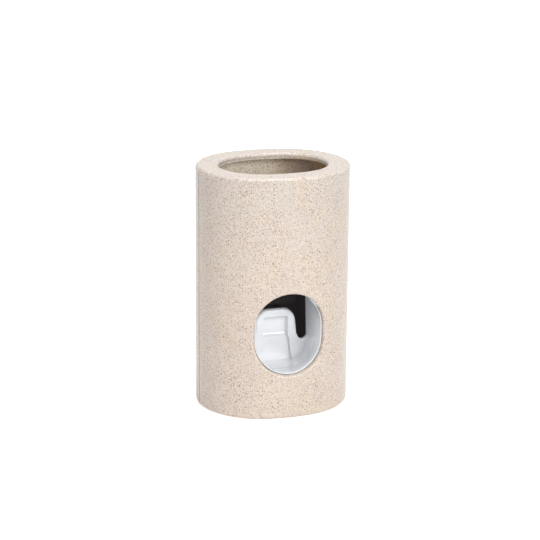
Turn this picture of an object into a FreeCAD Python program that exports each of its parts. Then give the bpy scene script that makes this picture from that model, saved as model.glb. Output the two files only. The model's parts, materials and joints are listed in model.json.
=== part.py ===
import FreeCAD, Part
import math
import os
import Sketcher

# A toothpaste dispenser for a wall or a shelf: an oval housing in two half shells,
# a white push cup behind the front window, and a black pump core that an upside-down
# tube plugs into from above.
# Millimetres. Front is -Y, X runs to the right, Z up, origin at the middle of the foot.

SIZES = (
    ("width", "75", "housing from side to side"),
    ("depth", "64", "housing from front to back"),
    ("height", "119", "housing from foot to rim"),
    ("side_share", "0.09", "tightening of the two sides, as a share of width less depth"),
    ("wall", "2.5", "housing wall"),
    ("rim_width", "11", "turned-in rim, seen from above"),
    ("rim_thickness", "3", "turned-in rim, from above to below"),
    ("rim_rounding", "1.5", "rounding of the rim's hole"),
    ("top_rounding", "1.5", "rounding of the housing's top edge"),
    ("foot_rounding", "1.5", "rounding of the housing's foot"),
    ("seam_forward", "2", "seam of the two shells, ahead of the middle"),
    ("seam_gap", "0.4", "open line along the seam, width"),
    ("seam_depth", "0.8", "open line along the seam, depth"),
    ("lip_thickness", "1.4", "tongue of the rear shell inside the seam"),
    ("lip_width", "60", "height of the seam's tongue"),
    ("lip_reach", "3", "how far the tongue passes the seam"),
    ("lip_gap", "0.1", "clearance of the tongue"),
    ("window_width", "34.3", "brush window, width"),
    ("window_height", "40.9", "brush window, height"),
    ("window_base", "21.4", "foot to the window's lowest edge"),
    ("window_rounding", "1", "rounding of the window's outer edge"),
    ("base_recess", "1", "foot to the base plate"),
    ("base_thickness", "2.5", "base plate"),
    ("base_gap", "0.2", "clearance round the base plate"),
    ("post_radius", "2.6", "posts of the base plate under the core"),
    ("post_side", "14", "middle to the posts, both ways"),
    ("boss_radius", "4", "screw bosses of the shells"),
    ("boss_height", "5.7", "screw bosses above the base plate"),
    ("boss_bite", "0.5", "how far a boss runs into the wall"),
    ("screw_radius", "1.2", "shank of the housing screws"),
    ("screw_head", "2.4", "head radius of the housing screws"),
    ("screw_head_height", "1.5", "head of the housing screws"),
    ("screw_gap", "0.05", "clearance round a screw's shank"),
    ("screw_bite", "4.2", "how deep the housing screws go in"),
    ("cross_width", "0.6", "cross recess of a screw, width"),
    ("cross_depth", "0.7", "cross recess of a screw, depth"),
    ("cross_share", "1.3", "cross recess, length as a share of the head's radius"),
    ("cheek_gap", "1", "side walls of the core frame to the push cup"),
    ("core_front", "24", "middle to the core frame's front"),
    ("core_back", "22", "middle to the core frame's back"),
    ("core_gap", "0.8", "shells' screw bosses to the core frame"),
    ("deck_gap", "0.7", "ceiling of the push cup to the deck above it"),
    ("cheek", "2", "side walls of the core frame"),
    ("deck", "2.5", "deck, floor and back of the core frame"),
    ("apron_height", "6.1", "front apron above the core floor"),
    ("core_screw_side", "15.5", "middle to the core screws"),
    ("core_screw_low", "6", "core floor to the lower core screws"),
    ("core_screw_high", "5.5", "deck to the upper core screws"),
    ("cup_rim_gap", "1.3", "housing wall to the push cup's curved front rim"),
    ("cup_back", "7", "middle to the cup's inner back face"),
    ("cup_wall", "1.6", "wall of the push cup"),
    ("cup_back_wall", "1.4", "back wall of the push cup"),
    ("cup_inner_width", "32.8", "inside of the cup at its front rim"),
    ("cup_narrowing", "1", "how much narrower the cup is inside at its back"),
    ("cup_floor", "20.7", "foot to the floor inside the cup"),
    ("cup_ceiling", "62.8", "foot to the ceiling inside the cup"),
    ("cup_corner", "14", "inner corner radius at the front rim"),
    ("cup_rear_corner", "9.7", "inner corner radius at the back"),
    ("roof_ledge", "4.9", "cup's inner side to the slot in its roof for the nozzle"),
    ("cup_slot_base", "50.2", "foot to where the roof's slot starts"),
    ("cup_lean", "4", "how much deeper the side walls reach at the top"),
    ("slot_width", "5.05", "slots beside the tongue"),
    ("tongue_taper", "1.4", "how far each side of the tongue leans in at its top"),
    ("tongue_corner", "7", "rounded corners of the tongue"),
    ("tongue_thickness", "8", "tongue from front to back"),
    ("tongue_rounding", "1.3", "rounding of the tongue's front edge"),
    ("tongue_flat", "0.5", "flat top of the tongue behind that rounding"),
    ("tongue_fall", "3.2", "how far the tongue's top falls towards its back"),
    ("tongue_slot_base", "31.3", "foot to the slots beside the tongue"),
    ("dish_width", "12.7", "upper dish in the tongue"),
    ("dish_margin", "3.9", "top of the tongue to the dish"),
    ("dish_ledge", "32.8", "foot to the ledge in the dish"),
    ("dish_depth", "3.4", "upper dish, depth"),
    ("dish_slope", "1.4", "height of the slopes at the dish's top and ledge"),
    ("dish_corner", "2", "upper dish, corner radius"),
    ("dish_rounding", "0.8", "rounding along the upper dish's sides"),
    ("ramp_width", "13.6", "lower dish at the ledge"),
    ("ramp_foot", "17", "lower dish at the floor"),
    ("ramp_depth", "2.2", "lower dish, depth"),
    ("travel", "8", "travel of the push cup"),
    ("rib_width", "4", "guide ribs on the cup's sides, height"),
    ("rib_gap", "0.15", "clearance of the guide ribs"),
    ("rod_radius", "1.35", "guide rods under the cup"),
    ("rod_gap", "0.06", "clearance round a guide rod"),
    ("rod_side", "8", "middle to the guide rods"),
    ("rod_rise", "3.5", "core floor to the guide rods"),
    ("rod_head", "2.4", "head of a guide rod, radius"),
    ("rod_head_length", "1.2", "head of a guide rod, length"),
    ("clip_thickness", "0.8", "clip on the rod's back end"),
    ("lug_width", "6", "guide lugs under the cup"),
    ("lug_length", "7", "guide lugs along the rod"),
    ("spring_wire", "0.7", "return spring, wire"),
    ("spring_radius", "2.3", "return spring, middle of the wire"),
    ("spring_turns", "8", "return spring, turns"),
    ("seat_gap", "0.1", "clearance at the spring's ends"),
    ("bellows_height", "20", "guide rods to the bellows' middle"),
    ("bellows_radius", "9.6", "bellows, outside of a fold"),
    ("bellows_waist", "7.6", "bellows, inside of a fold"),
    ("bellows_skin", "1", "bellows, wall"),
    ("bellows_folds", "4", "bellows, folds"),
    ("bellows_flange", "11.4", "bellows, radius of the clamped rim"),
    ("soft_gap", "0.3", "clearance of the soft pieces"),
    ("bellows_squeezed", "5.2", "length of the bellows when the cup is pushed in"),
    ("pump_width", "26", "pump behind the bellows"),
    ("ring_thickness", "2", "plate that clamps the bellows"),
    ("ring_screw_side", "10.9", "bellows' middle to the small screws"),
    ("small_screw", "0.9", "shank of the small screws"),
    ("small_head", "1.7", "head radius of the small screws"),
    ("small_head_height", "1.2", "head of the small screws"),
    ("small_bite", "4", "how deep the small screws go in"),
    ("block_width", "21.6", "pump head under the deck"),
    ("block_front", "4", "middle to the pump head's front"),
    ("block_gap", "1.5", "top of the tongue to the pump head"),
    ("chamber_radius", "5.5", "paste chamber of the pump head"),
    ("chamber_depth", "7.5", "paste chamber below the valve"),
    ("duct_radius", "1.8", "paste ducts"),
    ("duct_drop", "5", "deck's underside to the paste ducts"),
    ("duct_back", "2.7", "pump's back face to the rear duct"),
    ("arm_width", "10", "arm that carries the nozzle"),
    ("arm_reach", "21", "middle to the arm's end"),
    ("arm_depth", "4.4", "arm below the deck"),
    ("arm_duct_drop", "2.2", "deck's underside to the arm's duct"),
    ("arm_duct_radius", "1.5", "duct in the arm"),
    ("nozzle_forward", "16", "middle to the nozzle"),
    ("nozzle_radius", "3.2", "nozzle"),
    ("nozzle_bore", "1.8", "bore of the nozzle"),
    ("nozzle_drop", "0.6", "nozzle below the arm"),
    ("lip_seal_radius", "2.6", "slit lip in the nozzle, radius"),
    ("lip_seal_length", "1.6", "slit lip in the nozzle, length"),
    ("slit_width", "0.3", "slit of the nozzle's lip"),
    ("collar_radius", "11", "inlet collar of the pump"),
    ("collar_height", "6.5", "inlet collar above the deck's underside"),
    ("collar_bore", "7", "bore of the inlet collar"),
    ("collar_gap", "0.3", "clearance of the collar in the deck"),
    ("valve_height", "0.5", "deck's underside to the valve seat"),
    ("valve_thickness", "0.8", "inlet valve"),
    ("valve_gap", "0.1", "clearance round valve and retainer"),
    ("valve_slit", "0.5", "slit round the valve's flap"),
    ("retainer_height", "1.5", "ring over the inlet valve"),
    ("pump_screw_side", "7", "middle to the pump screws"),
    ("pump_screw_back", "15.5", "middle to the pump screws, rearward"),
    ("socket_skirt", "2.3", "tube socket, wall of the skirt"),
    ("socket_gap", "0.1", "clearance of the socket on the collar"),
    ("socket_mouth", "18.5", "tube socket, radius of the mouth"),
    ("socket_height", "13.5", "tube socket above the deck"),
    ("socket_floor", "0.2", "collar's top to the socket's shoulder"),
    ("seal_radius", "9.4", "tube seal, outside"),
    ("seal_bore", "6.5", "tube seal, bore for the tube's neck"),
    ("seal_height", "5.5", "tube seal"),
    ("recess_width", "34", "wall-plate recess, width"),
    ("recess_height", "52.6", "wall-plate recess, height"),
    ("recess_base", "34", "foot to the recess"),
    ("recess_depth", "3", "recess from the housing's back"),
    ("plate_width", "33.4", "wall plate, width"),
    ("plate_height", "44", "wall plate, height"),
    ("plate_thickness", "1.7", "wall plate"),
    ("plate_gap", "0.3", "clearance round the wall plate"),
    ("plate_corner", "3", "corners of wall plate and pad"),
    ("plate_travel", "8", "how far the housing lifts off the hooks"),
    ("pad_margin", "1.2", "wall plate's edge to the adhesive pad"),
    ("hook_spacing", "24", "between the two hooks"),
    ("hook_stem", "2.5", "stem of a hook, radius"),
    ("hook_head", "4.5", "head of a hook, radius"),
    ("hook_head_thickness", "1.8", "head of a hook"),
    ("keyhole_gap", "0.5", "clearance of a hook's head in its hole"),
    ("overrun", "1", "how far a cut runs past the piece"),
)

# Places that follow from the sizes. Heights are from the foot, y is positive rearward.
PLACES = (
    ("half_width", "sizes.width / 2"),
    ("half_depth", "sizes.depth / 2"),
    ("side_radius",
     "places.half_depth - sizes.side_share * (places.half_width - places.half_depth)"),
    ("side_centre", "places.half_width - places.side_radius"),
    ("front_radius",
     "(places.side_centre ^ 2 + places.half_depth ^ 2 - places.side_radius ^ 2)"
     " / (2 * (places.half_depth - places.side_radius))"),
    ("front_centre", "places.front_radius - places.half_depth"),
    ("seam", "-sizes.seam_forward"),
    ("rim_base", "sizes.height - sizes.rim_thickness"),
    ("window_radius", "sizes.window_width / 2"),
    ("window_low", "sizes.window_base + places.window_radius"),
    ("window_high", "sizes.window_base + sizes.window_height - places.window_radius"),
    ("lip_outer",
     "places.side_centre - sizes.lip_gap"
     " + sqrt((places.side_radius - sizes.wall) ^ 2 - (sizes.seam_forward + sizes.lip_reach) ^ 2)"),
    ("lip_base", "(sizes.height - sizes.lip_width) / 2"),
    ("plate_top", "sizes.base_recess + sizes.base_thickness"),
    ("boss_circle", "places.side_radius - sizes.wall - sizes.boss_radius + sizes.boss_bite"),
    ("boss_x", "places.side_centre + places.boss_circle * sqrt(0.5)"),
    ("boss_y", "places.boss_circle * sqrt(0.5)"),
    ("boss_top", "places.plate_top + sizes.boss_height"),
    ("screw_hole", "sizes.screw_radius + sizes.screw_gap"),
    ("cup_half", "sizes.cup_inner_width / 2"),
    ("core_inside", "places.cup_half + sizes.cup_wall + sizes.cheek_gap"),
    ("core_side", "places.core_inside + sizes.cheek"),
    ("core_base", "places.boss_top + sizes.core_gap"),
    ("core_floor", "places.core_base + sizes.deck"),
    ("core_ceiling", "sizes.cup_ceiling + sizes.deck_gap"),
    ("core_top", "places.core_ceiling + sizes.deck"),
    ("screw_low", "places.core_floor + sizes.core_screw_low"),
    ("screw_high", "places.core_ceiling - sizes.core_screw_high"),
    ("rod_height", "places.core_floor + sizes.rod_rise"),
    ("pump_half", "sizes.pump_width / 2"),
    ("pump_middle", "places.rod_height + sizes.bellows_height"),
    ("pump_base", "places.pump_middle - places.pump_half"),
    ("pump_top", "places.pump_middle + places.pump_half"),
    ("tongue_top", "places.pump_top - sizes.block_gap"),
    ("dish_top", "places.tongue_top - sizes.dish_margin"),
    ("bulkhead", "sizes.core_back - sizes.deck"),
    ("recess_floor", "places.half_depth - sizes.recess_depth"),
    ("recess_inside", "places.recess_floor - sizes.wall"),
    ("recess_top", "sizes.recess_base + sizes.recess_height"),
    ("low_boss_end",
     "sqrt((places.front_radius - sizes.wall) ^ 2 - sizes.core_screw_side ^ 2)"
     " - places.front_centre + sizes.wall / 2"),
    ("high_boss_end", "places.recess_floor - sizes.wall / 2"),
    ("cup_rear_face", "-sizes.cup_back + sizes.cup_back_wall"),
    ("cup_front", "places.half_depth - sizes.wall - sizes.cup_rim_gap"),
    ("cup_blank", "places.cup_front + sizes.overrun"),
    ("cup_rim_radius", "places.front_radius - sizes.wall - sizes.cup_rim_gap"),
    ("cup_rear_half", "places.cup_half - sizes.cup_narrowing / 2"),
    ("cup_middle", "(sizes.cup_floor + sizes.cup_ceiling) / 2"),
    ("cup_over", "sizes.cup_ceiling + sizes.cup_wall + sizes.overrun"),
    ("cup_under", "sizes.cup_floor - sizes.cup_wall / 2"),
    ("tongue_back", "-sizes.cup_back + sizes.tongue_thickness"),
    ("slot_edge",
     "places.cup_half - (places.cup_half - places.cup_rear_half)"
     " * (places.cup_blank - sizes.cup_back)"
     " / (places.cup_blank - sizes.cup_back + sizes.cup_lean)"),
    ("tongue_half", "places.slot_edge - sizes.slot_width"),
    ("slot_radius", "sizes.slot_width / 2"),
    ("slot_middle", "places.slot_edge - places.slot_radius"),
    ("slot_centre", "sizes.tongue_slot_base + places.slot_radius"),
    ("lug_back", "places.cup_rear_face"),
    ("rod_front", "-sizes.core_front"),
    ("rod_hole", "sizes.rod_radius + sizes.screw_gap"),
    ("spring_front", "places.lug_back + sizes.seat_gap"),
    ("spring_back", "places.bulkhead - sizes.seat_gap"),
    ("bellows_front", "places.tongue_back + sizes.soft_gap"),
    ("pump_front", "places.tongue_back + sizes.travel + sizes.bellows_squeezed"),
    ("flange_front", "places.pump_front - sizes.bellows_skin"),
    ("ring_front", "places.flange_front - sizes.ring_thickness"),
    ("small_hole", "sizes.small_screw + sizes.screw_gap"),
    ("duct_y", "places.bulkhead - sizes.duct_back"),
    ("duct_z", "places.core_ceiling - sizes.duct_drop"),
    ("arm_base", "places.core_ceiling - sizes.arm_depth"),
    ("arm_duct_z", "places.core_ceiling - sizes.arm_duct_drop"),
    ("nozzle_tip", "places.arm_base - sizes.nozzle_drop"),
    ("nozzle_top", "places.arm_base + sizes.lip_seal_length"),
    ("collar_top", "places.core_ceiling + sizes.collar_height"),
    ("valve_seat", "places.core_ceiling + sizes.valve_height"),
    ("valve_top", "places.valve_seat + sizes.valve_thickness"),
    ("valve_radius", "sizes.collar_bore - sizes.valve_gap"),
    ("retainer_top", "places.valve_top + sizes.retainer_height"),
    ("skirt_bore", "sizes.collar_radius + sizes.socket_gap"),
    ("skirt_outer", "places.skirt_bore + sizes.socket_skirt"),
    ("shoulder", "places.collar_top + sizes.socket_floor"),
    ("socket_top", "places.core_top + sizes.socket_height"),
    ("socket_throat", "sizes.seal_radius + sizes.socket_gap"),
    ("seal_top", "places.shoulder + sizes.seal_height"),
    ("plate_front", "places.recess_floor + sizes.plate_gap"),
    ("plate_back", "places.plate_front + sizes.plate_thickness"),
    ("plate_high", "places.recess_top - sizes.plate_gap"),
    ("plate_low", "places.plate_high - sizes.plate_height"),
    ("hook_high", "places.plate_low + (sizes.plate_height + sizes.hook_spacing) / 2"),
    ("hook_low", "places.hook_high - sizes.hook_spacing"),
    ("hook_head_back", "places.recess_inside - sizes.plate_gap"),
    ("hook_head_front", "places.hook_head_back - sizes.hook_head_thickness"),
)

UP = FreeCAD.Vector(0, 0, 1)
SIDES = ("-", "")

doc = FreeCAD.newDocument("dispenser")
sizes = doc.addObject("Spreadsheet::Sheet", "sizes")
for row, (alias, value, meaning) in enumerate(SIZES, 1):
    sizes.set(f"A{row}", meaning)
    sizes.set(f"B{row}", value)
    sizes.setAlias(f"B{row}", alias)
doc.recompute()

places = doc.addObject("App::VarSet", "places")
for alias, formula in PLACES:
    places.addProperty("App::PropertyFloat", alias, "places")
    places.setExpression(alias, formula)
    doc.recompute()

parts = []


def at(formula):
    """The number that a formula of sizes and places stands for now."""
    return float(places.evalExpression(formula))


def keep(piece, label):
    """List a finished sub-part under its own label."""
    piece.Label = label
    parts.append(piece)
    return piece


def new_body(label):
    """A solid body whose label names its file."""
    return keep(doc.addObject("PartDesign::Body", label), label)


def sketch_on(body, plane, level):
    """A sketch on one of the body's own planes, moved to a level along that plane's axis."""
    sketch = body.newObject("Sketcher::SketchObject", f"{body.Name}_sketch")
    support = next(f for f in body.Origin.OriginFeatures if f.Role == plane)
    sketch.AttachmentSupport = [(support, "")]
    sketch.MapMode = "FlatFace"
    offset = f"-({level})" if plane == "XZ_Plane" else level
    sketch.setExpression("AttachmentOffset.Base.z", offset)
    return sketch


def bind(sketch, kind, *where, formula):
    """A dimension of the sketch that follows a formula."""
    number = sketch.addConstraint(Sketcher.Constraint(kind, *where, at(formula)))
    sketch.setExpression(f"Constraints[{number}]", formula)


def pin(sketch, shape, vertex, x, y):
    """Hold a point of the sketch at x, y."""
    bind(sketch, "DistanceX", -1, 1, shape, vertex, formula=x)
    bind(sketch, "DistanceY", -1, 1, shape, vertex, formula=y)


def circle(sketch, x, y, radius):
    """A circle about x, y."""
    centre = FreeCAD.Vector(at(x), at(y), 0)
    shape = sketch.addGeometry(Part.Circle(centre, UP, at(radius)), False)
    pin(sketch, shape, 3, x, y)
    bind(sketch, "Radius", shape, formula=radius)


def tangent_ring(sketch, curves):
    """Close curves that touch end to start into one smooth outline."""
    for first, second in zip(curves, curves[1:] + curves[:1]):
        sketch.addConstraint(Sketcher.Constraint("Tangent", first, 2, second, 1))


def arc(sketch, centre, radius, start, end):
    """A counter-clockwise arc between two angles."""
    ring = Part.Circle(centre, UP, radius)
    return sketch.addGeometry(Part.ArcOfCircle(ring, start, end), False)


def oval(sketch, inset):
    """The housing's plan, moved inward: two side arcs and two flatter ones, all tangent."""
    side = at("places.side_centre")
    ahead = at("places.front_centre")
    small = at(f"places.side_radius - ({inset})")
    large = at(f"places.front_radius - ({inset})")
    turn = math.atan2(abs(ahead), abs(side))
    curves = [
        arc(sketch, FreeCAD.Vector(side, 0, 0), small, -turn, turn),
        arc(sketch, FreeCAD.Vector(0, -ahead, 0), large, turn, math.pi - turn),
        arc(sketch, FreeCAD.Vector(-side, 0, 0), small, math.pi - turn, math.pi + turn),
        arc(sketch, FreeCAD.Vector(0, ahead, 0), large, math.pi + turn, 2 * math.pi - turn),
    ]
    tangent_ring(sketch, curves)
    for curve, sign in ((curves[0], ""), (curves[2], "-")):
        pin(sketch, curve, 3, f"{sign}places.side_centre", "0")
        bind(sketch, "Radius", curve, formula=f"places.side_radius - ({inset})")
    for curve, sign in ((curves[1], "-"), (curves[3], "")):
        bind(sketch, "DistanceY", -1, 1, curve, 3, formula=f"{sign}places.front_centre")


def capsule(sketch, x, low, high, radius):
    """An upright slot with round ends, whose centres lie at heights low and high."""
    middle, bottom, top, reach = at(x), at(low), at(high), at(radius)
    right = Part.LineSegment(
        FreeCAD.Vector(middle + reach, bottom, 0), FreeCAD.Vector(middle + reach, top, 0))
    left = Part.LineSegment(
        FreeCAD.Vector(middle - reach, top, 0), FreeCAD.Vector(middle - reach, bottom, 0))
    rising = sketch.addGeometry(right, False)
    head = arc(sketch, FreeCAD.Vector(middle, top, 0), reach, 0, math.pi)
    falling = sketch.addGeometry(left, False)
    foot = arc(sketch, FreeCAD.Vector(middle, bottom, 0), reach, math.pi, 2 * math.pi)
    tangent_ring(sketch, [rising, head, falling, foot])
    pin(sketch, head, 3, x, high)
    pin(sketch, foot, 3, x, low)
    bind(sketch, "Radius", head, formula=radius)
    bind(sketch, "Radius", foot, formula=radius)


def polygon(sketch, corners):
    """A closed outline through corners (x, y) or (x, y, radius), each a formula.

    A rounded corner is an arc tangent to both sides, and a helper point keeps the
    sharp corner's place.
    """
    points = [FreeCAD.Vector(at(corner[0]), at(corner[1]), 0) for corner in corners]
    count = len(corners)
    ways = [(points[(i + 1) % count] - points[i]).normalize() for i in range(count)]
    trims = []
    for i, corner in enumerate(corners):
        turn = ways[i - 1].getAngle(ways[i])
        trims.append(at(corner[2]) * math.tan(turn / 2) if len(corner) > 2 else 0)
    sides = []
    for i in range(count):
        after = (i + 1) % count
        start = points[i] + ways[i] * trims[i]
        end = points[after] - ways[i] * trims[after]
        sides.append(sketch.addGeometry(Part.LineSegment(start, end), False))
    for i, corner in enumerate(corners):
        before, after = sides[i - 1], sides[i]
        if len(corner) == 2:
            sketch.addConstraint(Sketcher.Constraint("Coincident", before, 2, after, 1))
            pin(sketch, after, 1, *corner)
            continue
        radius = at(corner[2])
        left = ways[i - 1].cross(ways[i]).z > 0
        inward = UP.cross(ways[i - 1]) * (radius if left else -radius)
        entry = points[i] - ways[i - 1] * trims[i]
        leave = points[i] + ways[i] * trims[i]
        centre = entry + inward
        angles = [math.atan2(p.y - centre.y, p.x - centre.x) for p in (entry, leave)]
        first, last = angles if left else angles[::-1]
        bend = arc(sketch, centre, radius, first, last)
        entry_end, leave_end = (1, 2) if left else (2, 1)
        sketch.addConstraint(Sketcher.Constraint("Tangent", before, 2, bend, entry_end))
        sketch.addConstraint(Sketcher.Constraint("Tangent", bend, leave_end, after, 1))
        bind(sketch, "Radius", bend, formula=corner[2])
        tip = sketch.addGeometry(Part.Point(points[i]), True)
        sketch.addConstraint(Sketcher.Constraint("PointOnObject", tip, 1, before))
        sketch.addConstraint(Sketcher.Constraint("PointOnObject", tip, 1, after))
        pin(sketch, tip, 1, corner[0], corner[1])


def box(sketch, left, right, low, high, *radius):
    """A rectangle, its corners rounded where a radius is given."""
    polygon(sketch, [
        (left, low, *radius), (right, low, *radius),
        (right, high, *radius), (left, high, *radius)])


def extrude(body, kind, plane, low, high, draw, *what):
    """Add or cut the drawn outline between two levels of the plane's axis."""
    adds = kind == "PartDesign::Pad"
    from_low = adds == (plane != "XZ_Plane")
    sketch = sketch_on(body, plane, low if from_low else high)
    draw(sketch, *what)
    before = body.Tip.Shape.Volume if body.Tip and body.Tip.isValid() else 0
    feature = body.newObject(kind, f"{body.Name}_{kind[12:].lower()}")
    feature.Profile = sketch
    feature.setExpression("Length", f"({high}) - ({low})")
    doc.recompute()
    if (feature.Shape.Volume > before) != adds:
        raise ValueError(f"{feature.Name} in {body.Label} changed nothing")
    return feature


def grow(body, plane, low, high, draw, *what):
    """Add material between two levels."""
    return extrude(body, "PartDesign::Pad", plane, low, high, draw, *what)


def cut(body, plane, low, high, draw, *what):
    """Take material away between two levels."""
    return extrude(body, "PartDesign::Pocket", plane, low, high, draw, *what)


def turn_about(body, draw, *what):
    """Revolve an outline, drawn as radius and height, about the body's upright axis."""
    sketch = sketch_on(body, "XZ_Plane", "0")
    draw(sketch, *what)
    feature = body.newObject("PartDesign::Revolution", f"{body.Name}_revolution")
    feature.Profile = sketch
    feature.ReferenceAxis = (sketch, ["V_Axis"])
    feature.Angle = 360
    doc.recompute()
    return feature


def soften(body, size, wanted, kind="Fillet"):
    """Round or bevel those edges of the body that the test picks."""
    doc.recompute()
    base = body.Tip
    names = [f"Edge{i}" for i, edge in enumerate(base.Shape.Edges, 1) if wanted(edge)]
    if not names:
        raise ValueError(f"no edge to soften on {body.Label}")
    feature = body.newObject(f"PartDesign::{kind}", f"{body.Name}_{kind.lower()}")
    feature.Base = (base, names)
    feature.setExpression("Radius" if kind == "Fillet" else "Size", size)
    doc.recompute()
    return feature


def near(first, second):
    """Whether two places agree, to a thousandth of the wall."""
    return abs(first - second) < at("sizes.wall") / 1000


def level_edge(height):
    """A test for curved edges that lie flat at a height."""
    level = at(height)
    return lambda edge: (
        near(edge.BoundBox.ZMin, level) and near(edge.BoundBox.ZMax, level)
        and edge.Curve.TypeId == "Part::GeomCircle")


def half_shell(label, front):
    """One half of the housing: the oval's half with its cavity, rim and foot."""
    body = new_body(label)
    grow(body, "XY_Plane", "0", "sizes.height", oval, "0")
    past = "(places.half_depth + sizes.overrun)"
    low, high = ("places.seam", past) if front else (f"-{past}", "places.seam")
    reach = "(places.half_width + sizes.overrun)"
    cut(body, "XY_Plane", "-sizes.overrun", "sizes.height + sizes.overrun",
        box, f"-{reach}", reach, low, high)
    soften(body, "sizes.top_rounding", level_edge("sizes.height"))
    soften(body, "sizes.foot_rounding", level_edge("0"))
    cut(body, "XY_Plane", "-sizes.overrun", "places.rim_base", oval, "sizes.wall")
    cut(body, "XY_Plane", "places.rim_base - sizes.overrun", "sizes.height + sizes.overrun",
        oval, "sizes.rim_width")
    hole = at("places.half_width - sizes.rim_width")
    flat = level_edge("sizes.height")
    soften(body, "sizes.rim_rounding",
           lambda edge: flat(edge) and edge.BoundBox.XMax < hole + at("sizes.overrun") / 2)
    if front:
        open_seam(body)
    way = "-" if front else ""
    for sign in SIDES:
        centre = (f"{sign}places.boss_x", f"{way}places.boss_y")
        grow(body, "XY_Plane", "places.plate_top", "places.boss_top",
             circle, *centre, "sizes.boss_radius")
        cut(body, "XY_Plane", "places.plate_top - sizes.overrun",
            "places.plate_top + sizes.screw_bite + sizes.screw_gap",
            circle, *centre, "places.screw_hole")
    return body


def open_seam(body):
    """A fine open line beside the seam, outside the shells' tongues, up to the rim."""
    for sign in SIDES:
        bottom = f"{sign}(places.half_width - sizes.seam_depth)"
        outside = f"{sign}(places.half_width + sizes.overrun)"
        cut(body, "XY_Plane", "-sizes.overrun", "sizes.height - sizes.top_rounding",
            box, *in_order(bottom, outside), "places.seam - sizes.seam_gap", "places.seam")


def on_oval(point):
    """Whether a point lies on the housing's outside wall."""
    ahead = abs(point.y) + at("places.front_centre")
    aside = abs(point.x) - at("places.side_centre")
    return (
        near(math.hypot(point.x, ahead), at("places.front_radius"))
        or near(math.hypot(aside, point.y), at("places.side_radius")))


def front_shell():
    """The front half, with the brush window."""
    body = half_shell("front_shell", True)
    cut(body, "XZ_Plane", "-places.half_depth - sizes.overrun", "-sizes.core_front",
        capsule, "0", "places.window_low", "places.window_high", "places.window_radius")
    low, high = at("sizes.window_base"), at("sizes.window_base + sizes.window_height")
    reach = at("places.window_radius + sizes.overrun")

    def outer_edge(edge):
        bounds = edge.BoundBox
        return (
            bounds.ZMin > low - at("sizes.overrun") and bounds.ZMax < high + at("sizes.overrun")
            and max(abs(bounds.XMin), abs(bounds.XMax)) < reach
            and all(on_oval(vertex.Point) for vertex in edge.Vertexes))

    soften(body, "sizes.window_rounding", outer_edge)
    return body


def rear_shell():
    """The rear half, with the recess for the wall plate, keyholes, bosses and seam tongues."""
    body = half_shell("rear_shell", False)
    side = "sizes.recess_width / 2"
    grow(body, "XZ_Plane", "places.recess_inside", "places.recess_floor + sizes.plate_gap",
         box, f"-({side} + sizes.wall)", f"{side} + sizes.wall",
         "sizes.recess_base - sizes.wall", "places.recess_top + sizes.wall")
    cut(body, "XZ_Plane", "places.recess_floor", "places.half_depth + sizes.overrun",
        box, f"-({side})", side, "sizes.recess_base", "places.recess_top", "sizes.plate_corner")
    for hook in ("places.hook_low", "places.hook_high"):
        floor = ("places.recess_inside - sizes.overrun", "places.recess_floor + sizes.overrun")
        cut(body, "XZ_Plane", *floor, capsule, "0", f"{hook} - sizes.plate_travel",
            hook, "sizes.hook_stem + sizes.plate_gap")
        cut(body, "XZ_Plane", *floor, circle, "0", f"{hook} - sizes.plate_travel",
            "sizes.hook_head + sizes.keyhole_gap")
    for sign in SIDES:
        for level, end in (("places.screw_low", "places.low_boss_end"),
                           ("places.screw_high", "places.high_boss_end")):
            centre = (f"{sign}sizes.core_screw_side", level)
            grow(body, "XZ_Plane", "sizes.core_back", end,
                 circle, *centre, "sizes.boss_radius")
            cut(body, "XZ_Plane", "sizes.core_back - sizes.overrun",
                "sizes.core_back + sizes.screw_bite + sizes.screw_gap",
                circle, *centre, "places.screw_hole")
        seam_tongue(body, sign)
    return body


def seam_tongue(body, sign):
    """A tongue beside the seam: its root in the rear wall, its blade inside the front shell."""
    inner = f"{sign}(places.lip_outer - sizes.lip_thickness)"
    blade = f"{sign}places.lip_outer"
    root = f"{sign}(places.half_width - sizes.wall / 2)"
    levels = ("places.lip_base", "places.lip_base + sizes.lip_width")
    grow(body, "XY_Plane", *levels, box, *in_order(inner, root),
         "places.seam", "places.seam + sizes.lip_reach")
    grow(body, "XY_Plane", *levels, box, *in_order(inner, blade),
         "places.seam - sizes.lip_reach", "places.seam + sizes.lip_reach")


def in_order(first, second):
    """Two formulas, the smaller first."""
    return (first, second) if at(first) < at(second) else (second, first)


def base_plate():
    """The plate that closes the foot, with posts that carry the core frame."""
    body = new_body("base_plate")
    grow(body, "XY_Plane", "sizes.base_recess", "places.plate_top",
         oval, "sizes.wall + sizes.base_gap")
    for across in SIDES:
        for along in SIDES:
            grow(body, "XY_Plane", "places.plate_top", "places.core_base", circle,
                 f"{across}sizes.post_side", f"{along}sizes.post_side", "sizes.post_radius")
            centre = (f"{across}places.boss_x", f"{along}places.boss_y")
            cut(body, "XY_Plane", "sizes.base_recess - sizes.overrun",
                "places.plate_top + sizes.overrun", circle, *centre, "places.screw_hole")
            cut(body, "XY_Plane", "sizes.base_recess - sizes.overrun",
                "sizes.base_recess + sizes.screw_head_height + sizes.screw_gap",
                circle, *centre, "sizes.screw_head + sizes.screw_gap")
    return body


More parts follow.
